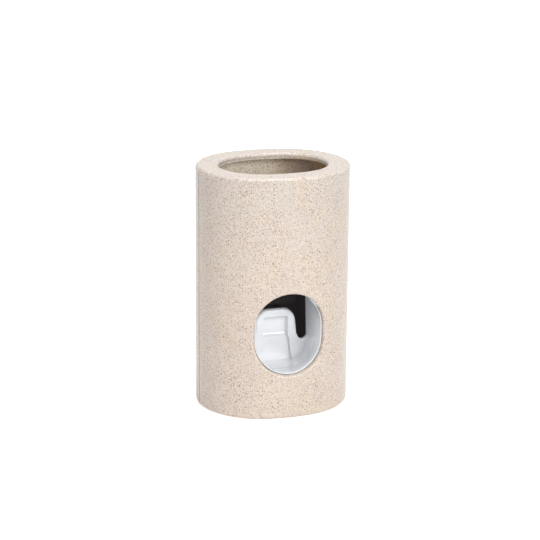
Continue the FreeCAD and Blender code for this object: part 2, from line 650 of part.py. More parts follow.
def core_frame():
    """The black frame of the core: floor, cheeks, bulkhead, deck and a low front apron."""
    body = new_body("core_frame")
    grow(body, "XY_Plane", "places.core_base", "places.core_top",
         box, "-places.core_side", "places.core_side", "-sizes.core_front", "sizes.core_back")
    cut(body, "XZ_Plane", "-sizes.core_front - sizes.overrun", "places.bulkhead",
        box, "-places.core_inside", "places.core_inside", "places.core_floor",
        "places.core_ceiling")
    grow(body, "XZ_Plane", "-sizes.core_front", "-sizes.core_front + sizes.deck",
         box, "-places.core_inside", "places.core_inside", "places.core_floor",
         "places.core_floor + sizes.apron_height")
    cut(body, "XY_Plane", "places.core_ceiling - sizes.overrun",
        "places.core_top + sizes.overrun",
        circle, "0", "0", "sizes.collar_radius + sizes.collar_gap")
    for sign in SIDES:
        cut(body, "XY_Plane", "places.core_ceiling - sizes.overrun",
            "places.core_top + sizes.overrun", circle, f"{sign}sizes.pump_screw_side",
            "sizes.pump_screw_back", "places.small_hole")
        cut(body, "XZ_Plane", "-sizes.core_front - sizes.overrun",
            "sizes.core_back + sizes.overrun", circle, f"{sign}sizes.rod_side",
            "places.rod_height", "places.rod_hole")
        for level in ("places.screw_low", "places.screw_high"):
            cut(body, "XZ_Plane", "places.bulkhead - sizes.overrun",
                "sizes.core_back + sizes.overrun",
                circle, f"{sign}sizes.core_screw_side", level, "places.screw_hole")
    return body


def cup_outline(sketch, half, corner, grown):
    """The push cup's section: a tall box with rounded corners, grown by a wall or not."""
    polygon(sketch, [
        (f"-({half} + {grown})", f"sizes.cup_floor - {grown}", f"{corner} + {grown}"),
        (f"{half} + {grown}", f"sizes.cup_floor - {grown}", f"{corner} + {grown}"),
        (f"{half} + {grown}", f"sizes.cup_ceiling + {grown}", f"{corner} + {grown}"),
        (f"-({half} + {grown})", f"sizes.cup_ceiling + {grown}", f"{corner} + {grown}"),
    ])


def cup_loft(body, kind, grown, front, back):
    """The cup's section carried from the wide front rim to the narrower back."""
    first = sketch_on(body, "XZ_Plane", front)
    cup_outline(first, "places.cup_half", "sizes.cup_corner", grown)
    last = sketch_on(body, "XZ_Plane", back)
    cup_outline(last, "places.cup_rear_half", "sizes.cup_rear_corner", grown)
    doc.recompute()
    feature = body.newObject(f"PartDesign::{kind}", f"{body.Name}_loft")
    feature.Profile = first
    feature.Sections = [last]
    doc.recompute()
    return feature


def tongue_outline(sketch):
    """The tongue seen from the front: wide at the slots, narrower at its rounded top."""
    foot, crown = "places.tongue_half", "places.tongue_half - sizes.tongue_taper"
    polygon(sketch, [
        (f"-{foot}", "places.cup_under"),
        (foot, "places.cup_under"),
        (foot, "places.slot_centre"),
        (crown, "places.tongue_top", "sizes.tongue_corner"),
        (f"-({crown})", "places.tongue_top", "sizes.tongue_corner"),
        (f"-{foot}", "places.slot_centre"),
    ])


def push_paddle():
    """The white cup that the brush pushes back: sleeve, back wall, tongue, ribs and lugs."""
    body = new_body("push_paddle")
    deep = "-sizes.cup_back + sizes.cup_lean"
    cup_loft(body, "AdditiveLoft", "sizes.cup_wall", "-places.cup_blank", deep)
    cup_loft(body, "SubtractiveLoft", "0", "-places.cup_blank", deep)
    reach = "(places.cup_half + sizes.cup_wall + sizes.overrun)"
    curve_rim(body)
    cut(body, "YZ_Plane", f"-{reach}", reach, polygon, [
        ("places.cup_rear_face", "sizes.cup_floor - sizes.cup_wall - sizes.overrun"),
        (f"{deep} + sizes.overrun", "sizes.cup_floor - sizes.cup_wall - sizes.overrun"),
        (f"{deep} + sizes.overrun", "places.cup_over"),
        (deep, "places.cup_over"),
        ("places.cup_rear_face", "places.slot_centre"),
    ])
    cut(body, "XZ_Plane", "-places.cup_blank", f"{deep} + sizes.overrun",
        box, "sizes.roof_ledge - places.cup_half", "places.cup_half - sizes.roof_ledge",
        "sizes.cup_slot_base", "places.cup_over")
    grow(body, "XZ_Plane", "-sizes.cup_back", "places.cup_rear_face", back_wall_outline)
    grow(body, "XZ_Plane", "-sizes.cup_back", "places.tongue_back", tongue_outline)
    round_tongue(body)
    slope_tongue(body)
    for sign in SIDES:
        cut(body, "XZ_Plane", "-sizes.cup_back", "places.tongue_back + sizes.overrun",
            circle, f"{sign}places.slot_middle", "places.slot_centre", "places.slot_radius")
    cut_dishes(body)
    for sign in SIDES:
        add_guides(body, sign)
    return body


def back_wall_outline(sketch):
    """The cup's low back wall, let into the middle of the sleeve's wall."""
    edge = "places.cup_rear_half + sizes.cup_wall / 2"
    polygon(sketch, [
        (f"-({edge})", "places.cup_under", "sizes.cup_rear_corner"),
        (edge, "places.cup_under", "sizes.cup_rear_corner"),
        (edge, "places.slot_centre"),
        (f"-({edge})", "places.slot_centre"),
    ])


def cut_dishes(body):
    """The dished face of the tongue: a deeper upper dish and a wider, shallower ramp."""
    face = "-sizes.cup_back"
    cut(body, "YZ_Plane", "-sizes.dish_width / 2", "sizes.dish_width / 2",
        polygon, [
            (f"{face} - sizes.overrun", "sizes.dish_ledge"),
            (f"{face} + sizes.ramp_depth", "sizes.dish_ledge"),
            (f"{face} + sizes.dish_depth", "sizes.dish_ledge + sizes.dish_slope",
             "sizes.dish_corner"),
            (f"{face} + sizes.dish_depth", "places.dish_top - sizes.dish_slope",
             "sizes.dish_corner"),
            (face, "places.dish_top"),
            (f"{face} - sizes.overrun", "places.dish_top"),
        ])
    side, deepest = at("sizes.dish_width / 2"), at(f"{face} + sizes.dish_depth")
    low, high = at("sizes.dish_ledge"), at("places.dish_top")

    def side_edge(edge):
        bounds = edge.BoundBox
        return (
            near(abs(bounds.XMin), side) and near(bounds.XLength, 0)
            and bounds.ZMin > low - at("sizes.dish_rounding")
            and bounds.ZMax < high + at("sizes.dish_rounding")
            and bounds.YMax > deepest - at("sizes.dish_slope") and bounds.YMin > at(face))

    soften(body, "sizes.dish_rounding", side_edge)
    cut(body, "XZ_Plane", f"{face} - sizes.overrun", f"{face} + sizes.ramp_depth",
        polygon, [
            ("-sizes.ramp_foot / 2", "sizes.cup_floor"),
            ("sizes.ramp_foot / 2", "sizes.cup_floor"),
            ("sizes.ramp_width / 2", "sizes.dish_ledge"),
            ("-sizes.ramp_width / 2", "sizes.dish_ledge"),
        ])


def slope_tongue(body):
    """Let the tongue's top fall towards its back."""
    start = "-sizes.cup_back + sizes.tongue_rounding + sizes.tongue_flat"
    end = "places.tongue_back + sizes.overrun"
    cut(body, "YZ_Plane", "-places.tongue_half", "places.tongue_half",
        polygon, [
            (start, "places.tongue_top"),
            (end, "places.tongue_top - sizes.tongue_fall"),
            (end, "places.tongue_top + sizes.overrun"),
            (start, "places.tongue_top + sizes.overrun"),
        ])


def curve_rim(body):
    """Trim the cup's front to an arc about the housing's front centre."""
    reach = "(places.cup_half + sizes.cup_wall + sizes.overrun)"
    cut(body, "XY_Plane", "places.cup_under - sizes.cup_wall", "places.cup_over", rim_blank, reach)


def rim_blank(sketch, reach):
    """The plan of what is trimmed ahead of the rim: an arc closed by three straight sides."""
    ahead = "(places.cup_blank + sizes.overrun)"
    radius = "places.cup_rim_radius"
    turn = math.asin(at(reach) / at(radius))
    centre = FreeCAD.Vector(0, at("places.front_centre"), 0)
    base = 3 * math.pi / 2
    rim = arc(sketch, centre, at(radius), base - turn, base + turn)
    left, right = (sketch.getPoint(rim, end) for end in (1, 2))
    front = FreeCAD.Vector(right.x, -at(ahead), 0), FreeCAD.Vector(left.x, -at(ahead), 0)
    corners = [right, *front, left]
    sides = [
        sketch.addGeometry(Part.LineSegment(a, b), False)
        for a, b in zip(corners, corners[1:])]
    for first, end, second in ((rim, 2, sides[0]), (sides[0], 2, sides[1]),
                               (sides[1], 2, sides[2])):
        sketch.addConstraint(Sketcher.Constraint("Coincident", first, end, second, 1))
    sketch.addConstraint(Sketcher.Constraint("Coincident", sides[2], 2, rim, 1))
    sketch.addConstraint(Sketcher.Constraint("Vertical", sides[0]))
    sketch.addConstraint(Sketcher.Constraint("Vertical", sides[2]))
    pin(sketch, rim, 3, "0", "places.front_centre")
    bind(sketch, "Radius", rim, formula=radius)
    pin(sketch, sides[1], 1, reach, f"-{ahead}")
    pin(sketch, sides[1], 2, f"-{reach}", f"-{ahead}")


def round_tongue(body):
    """Round the front edge of the tongue, along its sides and top."""
    front = at("-sizes.cup_back")
    low = at("places.slot_centre")
    reach = at("places.slot_edge")

    def front_edge(edge):
        bounds = edge.BoundBox
        return (
            near(bounds.YMin, front) and near(bounds.YMax, front)
            and bounds.ZMax > low + at("sizes.tongue_rounding") / 2
            and max(abs(bounds.XMin), abs(bounds.XMax)) < reach)

    soften(body, "sizes.tongue_rounding", front_edge)


def add_guides(body, sign):
    """One side's rib along the sleeve and lug round the guide rod."""
    middle = "places.cup_middle"
    outer = f"{sign}(places.core_inside - sizes.rib_gap)"
    inner = f"{sign}(places.cup_rear_half + sizes.cup_wall / 2)"
    grow(body, "XZ_Plane", "-sizes.core_front + sizes.deck", "-sizes.cup_back",
         box, *in_order(inner, outer),
         f"{middle} - sizes.rib_width / 2", f"{middle} + sizes.rib_width / 2")
    centre = f"{sign}sizes.rod_side"
    grow(body, "XZ_Plane", "places.lug_back - sizes.lug_length", "places.lug_back",
         box, f"{centre} - sizes.lug_width / 2", f"{centre} + sizes.lug_width / 2",
         "places.rod_height - sizes.lug_width / 2", "places.cup_under")
    cut(body, "XZ_Plane", "places.lug_back - sizes.lug_length - sizes.overrun",
        "places.lug_back + sizes.overrun",
        circle, centre, "places.rod_height", "sizes.rod_radius + sizes.rod_gap")


def guide_rod(label, sign):
    """One steel rod with a head at its front, pressed through apron and bulkhead."""
    body = new_body(label)
    centre = (f"{sign}sizes.rod_side", "places.rod_height")
    grow(body, "XZ_Plane", "places.rod_front",
         "sizes.core_back + sizes.clip_thickness * 2", circle, *centre,
         "sizes.rod_radius")
    grow(body, "XZ_Plane", "places.rod_front - sizes.rod_head_length", "places.rod_front",
         circle, *centre, "sizes.rod_head")
    return body


def rod_clips():
    """The two clips that hold the rods behind the bulkhead."""
    body = new_body("rod_clips")
    levels = ("sizes.core_back", "sizes.core_back + sizes.clip_thickness")
    for sign in SIDES:
        centre = f"{sign}sizes.rod_side"
        grow(body, "XZ_Plane", *levels, circle, centre, "places.rod_height", "sizes.rod_head")
        cut(body, "XZ_Plane", *levels, circle, centre, "places.rod_height",
            "places.rod_hole")
        cut(body, "XZ_Plane", *levels, box, f"{centre} - sizes.rod_radius / 2",
            f"{centre} + sizes.rod_radius / 2", "places.rod_height",
            "places.rod_height + sizes.rod_head + sizes.overrun")
    return body


def arc_through(start, way, end):
    """The arc that leaves a point along a direction and ends at another, with its end's way."""
    chord = end - start
    half = chord.Length / 2
    cosine = way.dot(chord) / chord.Length
    angle = math.acos(cosine)
    across = (way * chord.Length - chord * cosine).normalize()
    middle = start + chord / 2 + across * half * math.tan(angle / 2)
    leave = chord * (2 * cosine / chord.Length) - way
    return Part.Arc(start, middle, end).toShape(), leave


def spring(label, sign):
    """A return spring: a helix of biarcs, a quarter turn each, with a round wire."""
    radius, turns = at("sizes.spring_radius"), int(at("sizes.spring_turns"))
    wire = at("sizes.spring_wire")
    front = at("places.spring_front") + wire / 2
    length = at("places.spring_back") - wire / 2 - front
    centre = FreeCAD.Vector(at(f"{sign}sizes.rod_side"), 0, at("places.rod_height"))
    quarters = 4 * turns
    rise = length / quarters

    def place(step):
        turn = math.pi / 2 * step
        return centre + FreeCAD.Vector(
            radius * math.cos(turn), front + rise * step, radius * math.sin(turn))

    def heading(step):
        turn = math.pi / 2 * step
        run = radius * math.pi / 2
        return FreeCAD.Vector(
            -run * math.sin(turn), rise, run * math.cos(turn)).normalize()

    edges = []
    for step in range(quarters):
        start, end = place(step), place(step + 1)
        leave, arrive = heading(step), heading(step + 1)
        chord, ways = end - start, leave + arrive
        square = ways.dot(ways) - 4
        reach = (chord.dot(ways) - math.sqrt(
            chord.dot(ways) ** 2 - square * chord.dot(chord))) / square
        joint = (start + leave * reach + end - arrive * reach) / 2
        first, way = arc_through(start, leave, joint)
        second, way = arc_through(joint, way, end)
        edges += [first, second]
    path = Part.Wire(edges)
    section = Part.Wire(Part.Circle(place(0), heading(0), wire / 2).toShape())
    piece = doc.addObject("Part::Feature", label)
    piece.Shape = path.makePipeShell([section], True, False)
    piece.Placement = FreeCAD.Placement()
    print(f"{label}: {turns} turns, least gap {length / turns - wire:.2f} mm between turns")
    return keep(piece, label)


def pump_bellows():
    """The silicone bellows that the tongue squeezes, drawn upright and laid along +Y."""
    body = new_body("pump_bellows")
    length = "(places.pump_front - places.bellows_front)"
    folds = int(at("sizes.bellows_folds"))
    skin = "sizes.bellows_skin"
    step = f"(({length} - 2 * {skin} - sizes.soft_gap) / {2 * folds})"
    start = f"({skin} + sizes.soft_gap)"
    outside, inside = [], []
    for fold in range(2 * folds + 1):
        level = f"{start} + {step} * {fold}"
        radius = "sizes.bellows_radius" if fold % 2 else "sizes.bellows_waist"
        outside.append((radius, level))
        inside.append((f"{radius} - {skin}", level))
    foot = f"{length} - {skin}"
    outline = [("0", "0"), ("sizes.bellows_waist", "0")] + outside
    outline += [
        ("sizes.bellows_flange", foot), ("sizes.bellows_flange", length),
        (f"sizes.bellows_waist - {skin}", length)]
    outline += inside[::-1] + [("0", start)]
    turn_about(body, polygon, outline)
    body.Placement = FreeCAD.Placement(
        FreeCAD.Vector(), FreeCAD.Rotation(FreeCAD.Vector(1, 0, 0), -90))
    body.setExpression("Placement.Base.y", "places.bellows_front")
    body.setExpression("Placement.Base.z", "places.pump_middle")
    return body


def bellows_ring():
    """The square plate that clamps the bellows' rim to the pump."""
    body = new_body("bellows_ring")
    levels = ("places.ring_front", "places.flange_front")
    grow(body, "XZ_Plane", *levels, box, "-places.pump_half", "places.pump_half",
         "places.pump_base", "places.pump_top", "sizes.plate_corner / 2")
    cut(body, "XZ_Plane", *levels, circle, "0", "places.pump_middle",
        "sizes.bellows_radius + sizes.soft_gap")
    for across in SIDES:
        for along in ("-", "+"):
            cut(body, "XZ_Plane", *levels, circle, f"{across}sizes.ring_screw_side",
                f"places.pump_middle {along} sizes.ring_screw_side", "places.small_hole")
    return body


def pump_body():
    """The black pump: bellows plate, head under the deck, nozzle arm and inlet collar."""
    body = new_body("pump_body")
    grow(body, "XZ_Plane", "places.pump_front", "places.bulkhead",
         box, "-places.pump_half", "places.pump_half", "places.pump_base", "places.pump_top")
    head = "sizes.block_width / 2"
    grow(body, "XZ_Plane", "-sizes.block_front", "places.bulkhead",
         box, f"-{head}", head, "places.pump_top", "places.core_ceiling")
    arm = "sizes.arm_width / 2"
    grow(body, "XZ_Plane", "-sizes.arm_reach", "-sizes.block_front",
         box, f"-{arm}", arm, "places.arm_base", "places.core_ceiling")
    grow(body, "XY_Plane", "places.core_ceiling", "places.collar_top",
         circle, "0", "0", "sizes.collar_radius")
    cut(body, "XY_Plane", "places.valve_seat", "places.collar_top + sizes.overrun",
        circle, "0", "0", "sizes.collar_bore")
    cut(body, "XY_Plane", "places.valve_seat - sizes.chamber_depth", "places.valve_seat",
        circle, "0", "0", "sizes.chamber_radius")
    cut(body, "XZ_Plane", "places.pump_front - sizes.overrun", "places.duct_y",
        circle, "0", "places.pump_middle", "sizes.bellows_waist - sizes.bellows_skin")
    cut(body, "XY_Plane", "places.pump_middle", "places.duct_z",
        circle, "0", "places.duct_y", "sizes.duct_radius")
    cut(body, "XZ_Plane", "0", "places.duct_y", circle, "0", "places.duct_z",
        "sizes.duct_radius")
    cut(body, "XZ_Plane", "-sizes.nozzle_forward", "0", circle, "0", "places.arm_duct_z",
        "sizes.arm_duct_radius")
    cut(body, "XY_Plane", "places.arm_base - sizes.overrun", "places.arm_duct_z",
        circle, "0", "-sizes.nozzle_forward", "sizes.nozzle_bore")
    cut(body, "XY_Plane", "places.arm_base - sizes.overrun", "places.nozzle_top",
        circle, "0", "-sizes.nozzle_forward", "sizes.lip_seal_radius + sizes.screw_gap")
    for across in SIDES:
        for along in ("-", "+"):
            cut(body, "XZ_Plane", "places.pump_front - sizes.overrun",
                "places.flange_front + sizes.small_bite + sizes.screw_gap", circle,
                f"{across}sizes.ring_screw_side",
                f"places.pump_middle {along} sizes.ring_screw_side", "places.small_hole")
        cut(body, "XY_Plane", "places.core_ceiling - sizes.small_bite - sizes.screw_gap",
            "places.core_ceiling + sizes.overrun", circle,
            f"{across}sizes.pump_screw_side", "sizes.pump_screw_back", "places.small_hole")
    return body


def nozzle_cap():
    """The round cap under the arm that holds the slit lip."""
    body = new_body("nozzle_cap")
    centre = ("0", "-sizes.nozzle_forward")
    grow(body, "XY_Plane", "places.nozzle_tip", "places.arm_base",
         circle, *centre, "sizes.nozzle_radius")
    cut(body, "XY_Plane", "places.nozzle_tip", "places.arm_base",
        circle, *centre, "sizes.nozzle_bore")
    return body


def nozzle_lip():
    """The silicone lip in the arm's outlet, slit so that paste stops when the cup returns."""
    body = new_body("nozzle_lip")
    centre = ("0", "-sizes.nozzle_forward")
    grow(body, "XY_Plane", "places.arm_base", "places.nozzle_top",
         circle, *centre, "sizes.lip_seal_radius")
    slit = "sizes.nozzle_bore / 2"
    cut(body, "XY_Plane", "places.arm_base", "places.nozzle_top",
        box, f"-{slit}", slit, "-sizes.nozzle_forward - sizes.slit_width / 2",
        "-sizes.nozzle_forward + sizes.slit_width / 2")
    return body


def inlet_valve():
    """The thin silicone disc under the tube's neck, with a flap cut in it."""
    body = new_body("inlet_valve")
    levels = ("places.valve_seat", "places.valve_top")
    grow(body, "XY_Plane", *levels, circle, "0", "0", "places.valve_radius")
    reach = "sizes.chamber_radius - sizes.valve_slit"
    flap = f"({reach}) / 2"
    outer = f"({flap} + sizes.valve_slit)"
    cut(body, "XY_Plane", *levels, polygon, [
        (f"-{outer}", f"-{outer}"), (f"-{flap}", f"-{outer}"), (f"-{flap}", flap),
        (flap, flap), (flap, f"-{outer}"), (outer, f"-{outer}"), (outer, outer),
        (f"-{outer}", outer)])
    return body


def ring_piece(label, low, high, outer, inner):
    """A plain ring about the upright axis."""
    body = new_body(label)
    grow(body, "XY_Plane", low, high, circle, "0", "0", outer)
    cut(body, "XY_Plane", low, high, circle, "0", "0", inner)
    return body


def tube_socket():
    """The funnel that screws onto the collar and centres the upside-down tube."""
    body = new_body("tube_socket")
    wall = "sizes.socket_skirt"
    turn_about(body, polygon, [
        ("places.skirt_bore", "places.core_top + sizes.collar_gap"),
        ("places.skirt_outer", "places.core_top + sizes.collar_gap"),
        ("places.skirt_outer", "places.shoulder"),
        ("sizes.socket_mouth", f"places.socket_top - {wall} / 2"),
        ("sizes.socket_mouth", "places.socket_top"),
        (f"sizes.socket_mouth - {wall} / 2", "places.socket_top"),
        ("places.socket_throat", "places.seal_top - sizes.socket_floor"),
        ("places.socket_throat", "places.collar_top"),
        ("places.skirt_bore", "places.collar_top"),
    ])
    return body


def tube_seal():
    """The rubber ring that grips the neck of the tube."""
    body = new_body("tube_seal")
    bevel = "sizes.seal_height / 4"
    turn_about(body, polygon, [
        ("sizes.seal_bore", "places.collar_top"),
        ("sizes.seal_radius", "places.collar_top"),
        ("sizes.seal_radius", f"places.seal_top - {bevel}"),
        (f"sizes.seal_radius - {bevel}", "places.seal_top"),
        (f"sizes.seal_bore + {bevel} / 2", "places.seal_top"),
        ("sizes.seal_bore", f"places.seal_top - {bevel}"),
    ])
    return body


def hook_circles(sketch, radius):
    """Both hooks of the wall plate, seen from the front."""
    for hook in ("places.hook_low", "places.hook_high"):
        circle(sketch, "0", hook, radius)


def wall_plate():
    """The plate that stays on the wall, with two hooks that the housing hangs on."""
    body = new_body("wall_plate")
    grow(body, "XZ_Plane", "places.plate_front", "places.plate_back",
         box, "-sizes.plate_width / 2", "sizes.plate_width / 2", "places.plate_low",
         "places.plate_high", "sizes.plate_corner")
    grow(body, "XZ_Plane", "places.hook_head_back", "places.plate_front",
         hook_circles, "sizes.hook_stem")
    grow(body, "XZ_Plane", "places.hook_head_front", "places.hook_head_back",
         hook_circles, "sizes.hook_head")
    return body


def adhesive_pad():
    """The adhesive pad behind the wall plate."""
    body = new_body("adhesive_pad")
    side = "sizes.plate_width / 2 - sizes.pad_margin"
    grow(body, "XZ_Plane", "places.plate_back", "places.half_depth",
         box, f"-({side})", side, "places.plate_low + sizes.pad_margin",
         "places.plate_high - sizes.pad_margin", "sizes.plate_corner - sizes.pad_margin / 2")
    return body


def cylinder(name, radius, length, base):
    """An upright cylinder whose size and foot follow formulas."""
    piece = doc.addObject("Part::Cylinder", name)
    piece.setExpression("Radius", radius)
    piece.setExpression("Height", length)
    piece.setExpression("Placement.Base.z", base)
    return piece


def slot_box(name, long, wide, deep):
    """One arm of a screw's cross recess."""
    piece = doc.addObject("Part::Box", name)
    for side, length in (("Length", long), ("Width", wide), ("Height", deep)):
        piece.setExpression(side, length)
    piece.setExpression("Placement.Base.x", f"-({long}) / 2")
    piece.setExpression("Placement.Base.y", f"-({wide}) / 2")
    return piece


def screws(label, spots, axis, turn, shank, head, head_height, length):
    """A group of like screws: head at the spot, shank along the local upright axis."""
    group = []
    for number, spot in enumerate(spots, 1):
        name = f"{label}_{number}"
        cap = cylinder(f"{name}_head", head, head_height, "0")
        stem = cylinder(f"{name}_shank", shank, length, head_height)
        whole = doc.addObject("Part::Fuse", f"{name}_blank")
        whole.Base, whole.Tool = cap, stem
        arm = f"{head} * sizes.cross_share"
        cross = doc.addObject("Part::Fuse", f"{name}_cross")
        cross.Base = slot_box(f"{name}_cross_x", arm, "sizes.cross_width", "sizes.cross_depth")
        cross.Tool = slot_box(f"{name}_cross_y", "sizes.cross_width", arm, "sizes.cross_depth")
        screw = doc.addObject("Part::Cut", name)
        screw.Base, screw.Tool = whole, cross
        screw.Placement = FreeCAD.Placement(FreeCAD.Vector(), FreeCAD.Rotation(axis, turn))
        for way, formula in zip("xyz", spot):
            screw.setExpression(f"Placement.Base.{way}", formula)
        group.append(screw)
    pack = doc.addObject("Part::Compound", label)
    pack.Links = group
    return keep(pack, label)


def all_screws():
    """Base, core, clamp and pump screws."""
    across = FreeCAD.Vector(1, 0, 0)
    screws("base_screws", [
        (f"{a}places.boss_x", f"{b}places.boss_y", "sizes.base_recess")
        for a in SIDES for b in SIDES], across, 0, "sizes.screw_radius",
        "sizes.screw_head", "sizes.screw_head_height",
        "sizes.base_thickness - sizes.screw_head_height + sizes.screw_bite")
    screws("core_screws", [
        (f"{a}sizes.core_screw_side", "places.bulkhead - sizes.screw_head_height", level)
        for a in SIDES for level in ("places.screw_low", "places.screw_high")],
        across, -90, "sizes.screw_radius", "sizes.screw_head", "sizes.screw_head_height",
        "sizes.deck + sizes.screw_bite")
    screws("clamp_screws", [
        (f"{a}sizes.ring_screw_side", "places.ring_front - sizes.small_head_height",
         f"places.pump_middle {b} sizes.ring_screw_side")
        for a in SIDES for b in ("-", "+")], across, -90, "sizes.small_screw",
        "sizes.small_head", "sizes.small_head_height",
        "sizes.ring_thickness + sizes.small_bite")
    screws("pump_screws", [
        (f"{a}sizes.pump_screw_side", "sizes.pump_screw_back",
         "places.core_top + sizes.small_head_height")
        for a in SIDES], across, 180, "sizes.small_screw", "sizes.small_head",
        "sizes.small_head_height", "sizes.deck + sizes.small_bite")


def write_parts():
    """Check every object, then write one file for each sub-part."""
    doc.recompute()
    for item in doc.Objects:
        if {"Invalid", "Error"} & set(item.State):
            raise ValueError(f"{item.Name} did not build: {item.State}")
    for piece in parts:
        if piece.Shape.isNull() or not piece.Shape.isValid() or not piece.Shape.Solids:
            raise ValueError(f"{piece.Label} has no sound shape")
    os.makedirs("parts", exist_ok=True)
    for piece in parts:
        piece.Shape.exportStep(f"parts/{piece.Label}.step")
        print(f"{piece.Label}: {len(piece.Shape.Solids)} solids, {piece.Shape.Volume:.1f} mm3")


front_shell()
rear_shell()
base_plate()
core_frame()
push_paddle()
guide_rod("left_guide_rod", "-")
guide_rod("right_guide_rod", "")
rod_clips()
spring("left_return_spring", "-")
spring("right_return_spring", "")
pump_bellows()
bellows_ring()
pump_body()
nozzle_cap()
nozzle_lip()
inlet_valve()
ring_piece("valve_retainer", "places.valve_top", "places.retainer_top",
           "places.valve_radius", "sizes.chamber_radius")
tube_socket()
tube_seal()
wall_plate()
adhesive_pad()
all_screws()
write_parts()
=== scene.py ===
import json
import math

import bpy
import numpy as np
from bpy.props import FloatProperty, FloatVectorProperty, IntProperty, PointerProperty
from bpy.types import Operator, Panel, PropertyGroup
from mathutils import Matrix, Vector


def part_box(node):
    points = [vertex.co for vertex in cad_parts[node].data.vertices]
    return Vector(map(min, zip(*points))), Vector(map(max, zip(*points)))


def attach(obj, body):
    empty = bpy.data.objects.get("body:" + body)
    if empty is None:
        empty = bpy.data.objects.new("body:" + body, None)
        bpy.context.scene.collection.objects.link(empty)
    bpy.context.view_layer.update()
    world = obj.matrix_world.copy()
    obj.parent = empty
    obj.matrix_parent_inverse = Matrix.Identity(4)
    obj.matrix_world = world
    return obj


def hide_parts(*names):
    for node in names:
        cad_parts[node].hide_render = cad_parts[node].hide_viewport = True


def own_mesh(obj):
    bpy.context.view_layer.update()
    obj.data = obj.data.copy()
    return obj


bl_info = {
    "name": "Toothpaste dispenser finish",
    "version": (1, 0, 0),
    "blender": (4, 5, 0),
    "location": "View3D > Sidebar > Dispenser",
    "description": "Dresses the speckled toothpaste dispenser and sets up its studio",
    "category": "Object",
}

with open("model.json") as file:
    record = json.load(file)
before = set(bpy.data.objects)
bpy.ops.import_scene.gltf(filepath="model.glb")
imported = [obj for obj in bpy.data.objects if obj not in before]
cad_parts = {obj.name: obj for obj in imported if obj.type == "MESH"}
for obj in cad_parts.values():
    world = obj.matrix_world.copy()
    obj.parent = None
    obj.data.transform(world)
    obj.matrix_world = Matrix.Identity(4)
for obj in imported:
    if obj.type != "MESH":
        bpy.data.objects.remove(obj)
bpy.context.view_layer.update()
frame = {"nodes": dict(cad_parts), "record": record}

SHELL_NODES = ("front_shell", "rear_shell", "base_plate")
WHITE_NODES = ("push_paddle", "tube_socket", "wall_plate")
BLACK_NODES = ("core_frame", "pump_body", "bellows_ring", "nozzle_cap", "valve_retainer")
STEEL_NODES = (
    "left_guide_rod", "right_guide_rod", "rod_clips",
    "base_screws", "core_screws", "clamp_screws", "pump_screws")
RUBBER_NODES = ("nozzle_lip", "inlet_valve", "tube_seal")

MM = 0.001
BELLOWS_LOW, BELLOWS_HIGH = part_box("pump_bellows")
PAD_LOW, PAD_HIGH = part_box("adhesive_pad")
LAMPS = ("key", "left", "right", "top")

# The shells' own measure is one on the housing's outside and less within: where the
# inner faces begin and where they are fully reached, and where the recess's floor lies.
INNER_BEGINS, INNER_REACHED, RECESS_MEASURE = 0.965, 0.945, 0.87
# Below the rim's top: where a change with height begins and where it is complete.
RIM_SKIN, RIM_INSIDE = 2 * MM, 3 * MM
SEAM_TOP, SEAM_FULL = 1 * MM, 2 * MM
SEAM_BLUR = 0.1 * MM
RECESS_SPARE = 1 * MM

# Kinds of grain: radius and blurred edge, counted in spacings, and the share of the
# seeds that carry one.
SPECKS = (0.34, 0.1, 0.55)
FLECKS = (0.38, 0.14, 0.6)
PALE_GRAINS = (0.34, 0.12, 0.35)
PALE_SPACING = 1.3
PALEST_SPECK = 0.3

# From which value of a noise to which one a layer comes in.
ROSY_RANGE, STRAW_RANGE, STRAW_SIZE = (0.45, 0.62), (0.5, 0.66), 0.7
TINT_RANGE, TINT_SIZE = (0.4, 0.6), 2 * MM
DUST_RANGE = (0.48, 0.66)
GLOSS_RANGE, GLOSS_SWING = (0.3, 0.7), 0.06
SHELL_EDGE = 0.15 * MM
BEVEL_SAMPLES = 6

MOULD_CLOUD, MOULD_GRAIN, MOULD_RELIEF = 9 * MM, 0.6 * MM, 0.004 * MM
MOULD_RANGE, MOULD_GLOSS = (0.35, 0.65), (0.85, 1.15)
WHITE_COAT_ROUGHNESS = 0.06
# Tints of the painted glow that the white and the black plastic give off, though they are no
# lamps.
WHITE_GLOW_TINT, BLACK_GLOW_TINT = (0.95, 0.97, 1.0), (1.0, 0.88, 0.88)
BLACK_MOTTLE, RUBBER_MOTTLE = 0.12, 0.1

STREAK_SIZE, STREAK_STRETCH, STREAK_RELIEF = 0.25 * MM, (1, 0.08, 1), 0.003 * MM
STEEL_RANGE, STEEL_DARK, STEEL_GLOSS = (0.35, 0.65), 0.82, (0.8, 1.2)
FOAM_CELL, FOAM_PIT, FOAM_RANGE = 0.35 * MM, 0.05 * MM, (0.1, 0.55)
FOAM_DARK, FOAM_ROUGHNESS = 0.78, 0.85
FLOOR_COLOUR, FLOOR_ROUGHNESS, FLOOR_GLOSS = (0.86, 0.86, 0.86, 1), 0.9, 0.1

# Counts of points on small curves of the new pieces, and shares of a piece's own size.
BEND_POINTS = 7
BEAD_POINTS = 9
STEP_POINTS = 17
LIP_HIDDEN, LIP_BURIED = 0.2, 1.5
FACE_RINGS, FACE_SHARES = 4, (0.25, 0.95)
TINY = 1e-9


def colour(name, default, description):
    """A colour in the panel."""
    return FloatVectorProperty(
        name=name, description=description, default=default, subtype="COLOR",
        size=3, min=0, max=1)


def length(name, default, description):
    """A length in the panel, in metres."""
    return FloatProperty(
        name=name, description=description, default=default, unit="LENGTH", precision=5)


def share(name, default, description):
    """A number from nought to one in the panel."""
    return FloatProperty(
        name=name, description=description, default=default, subtype="FACTOR", min=0, max=1)


def angle(name, default, description):
    """An angle in the panel, given in degrees."""
    return FloatProperty(
        name=name, description=description, default=math.radians(default), subtype="ANGLE")


def power(name, default, description):
    """A lamp's power in the panel, in watts."""
    return FloatProperty(name=name, description=description, default=default, unit="POWER")


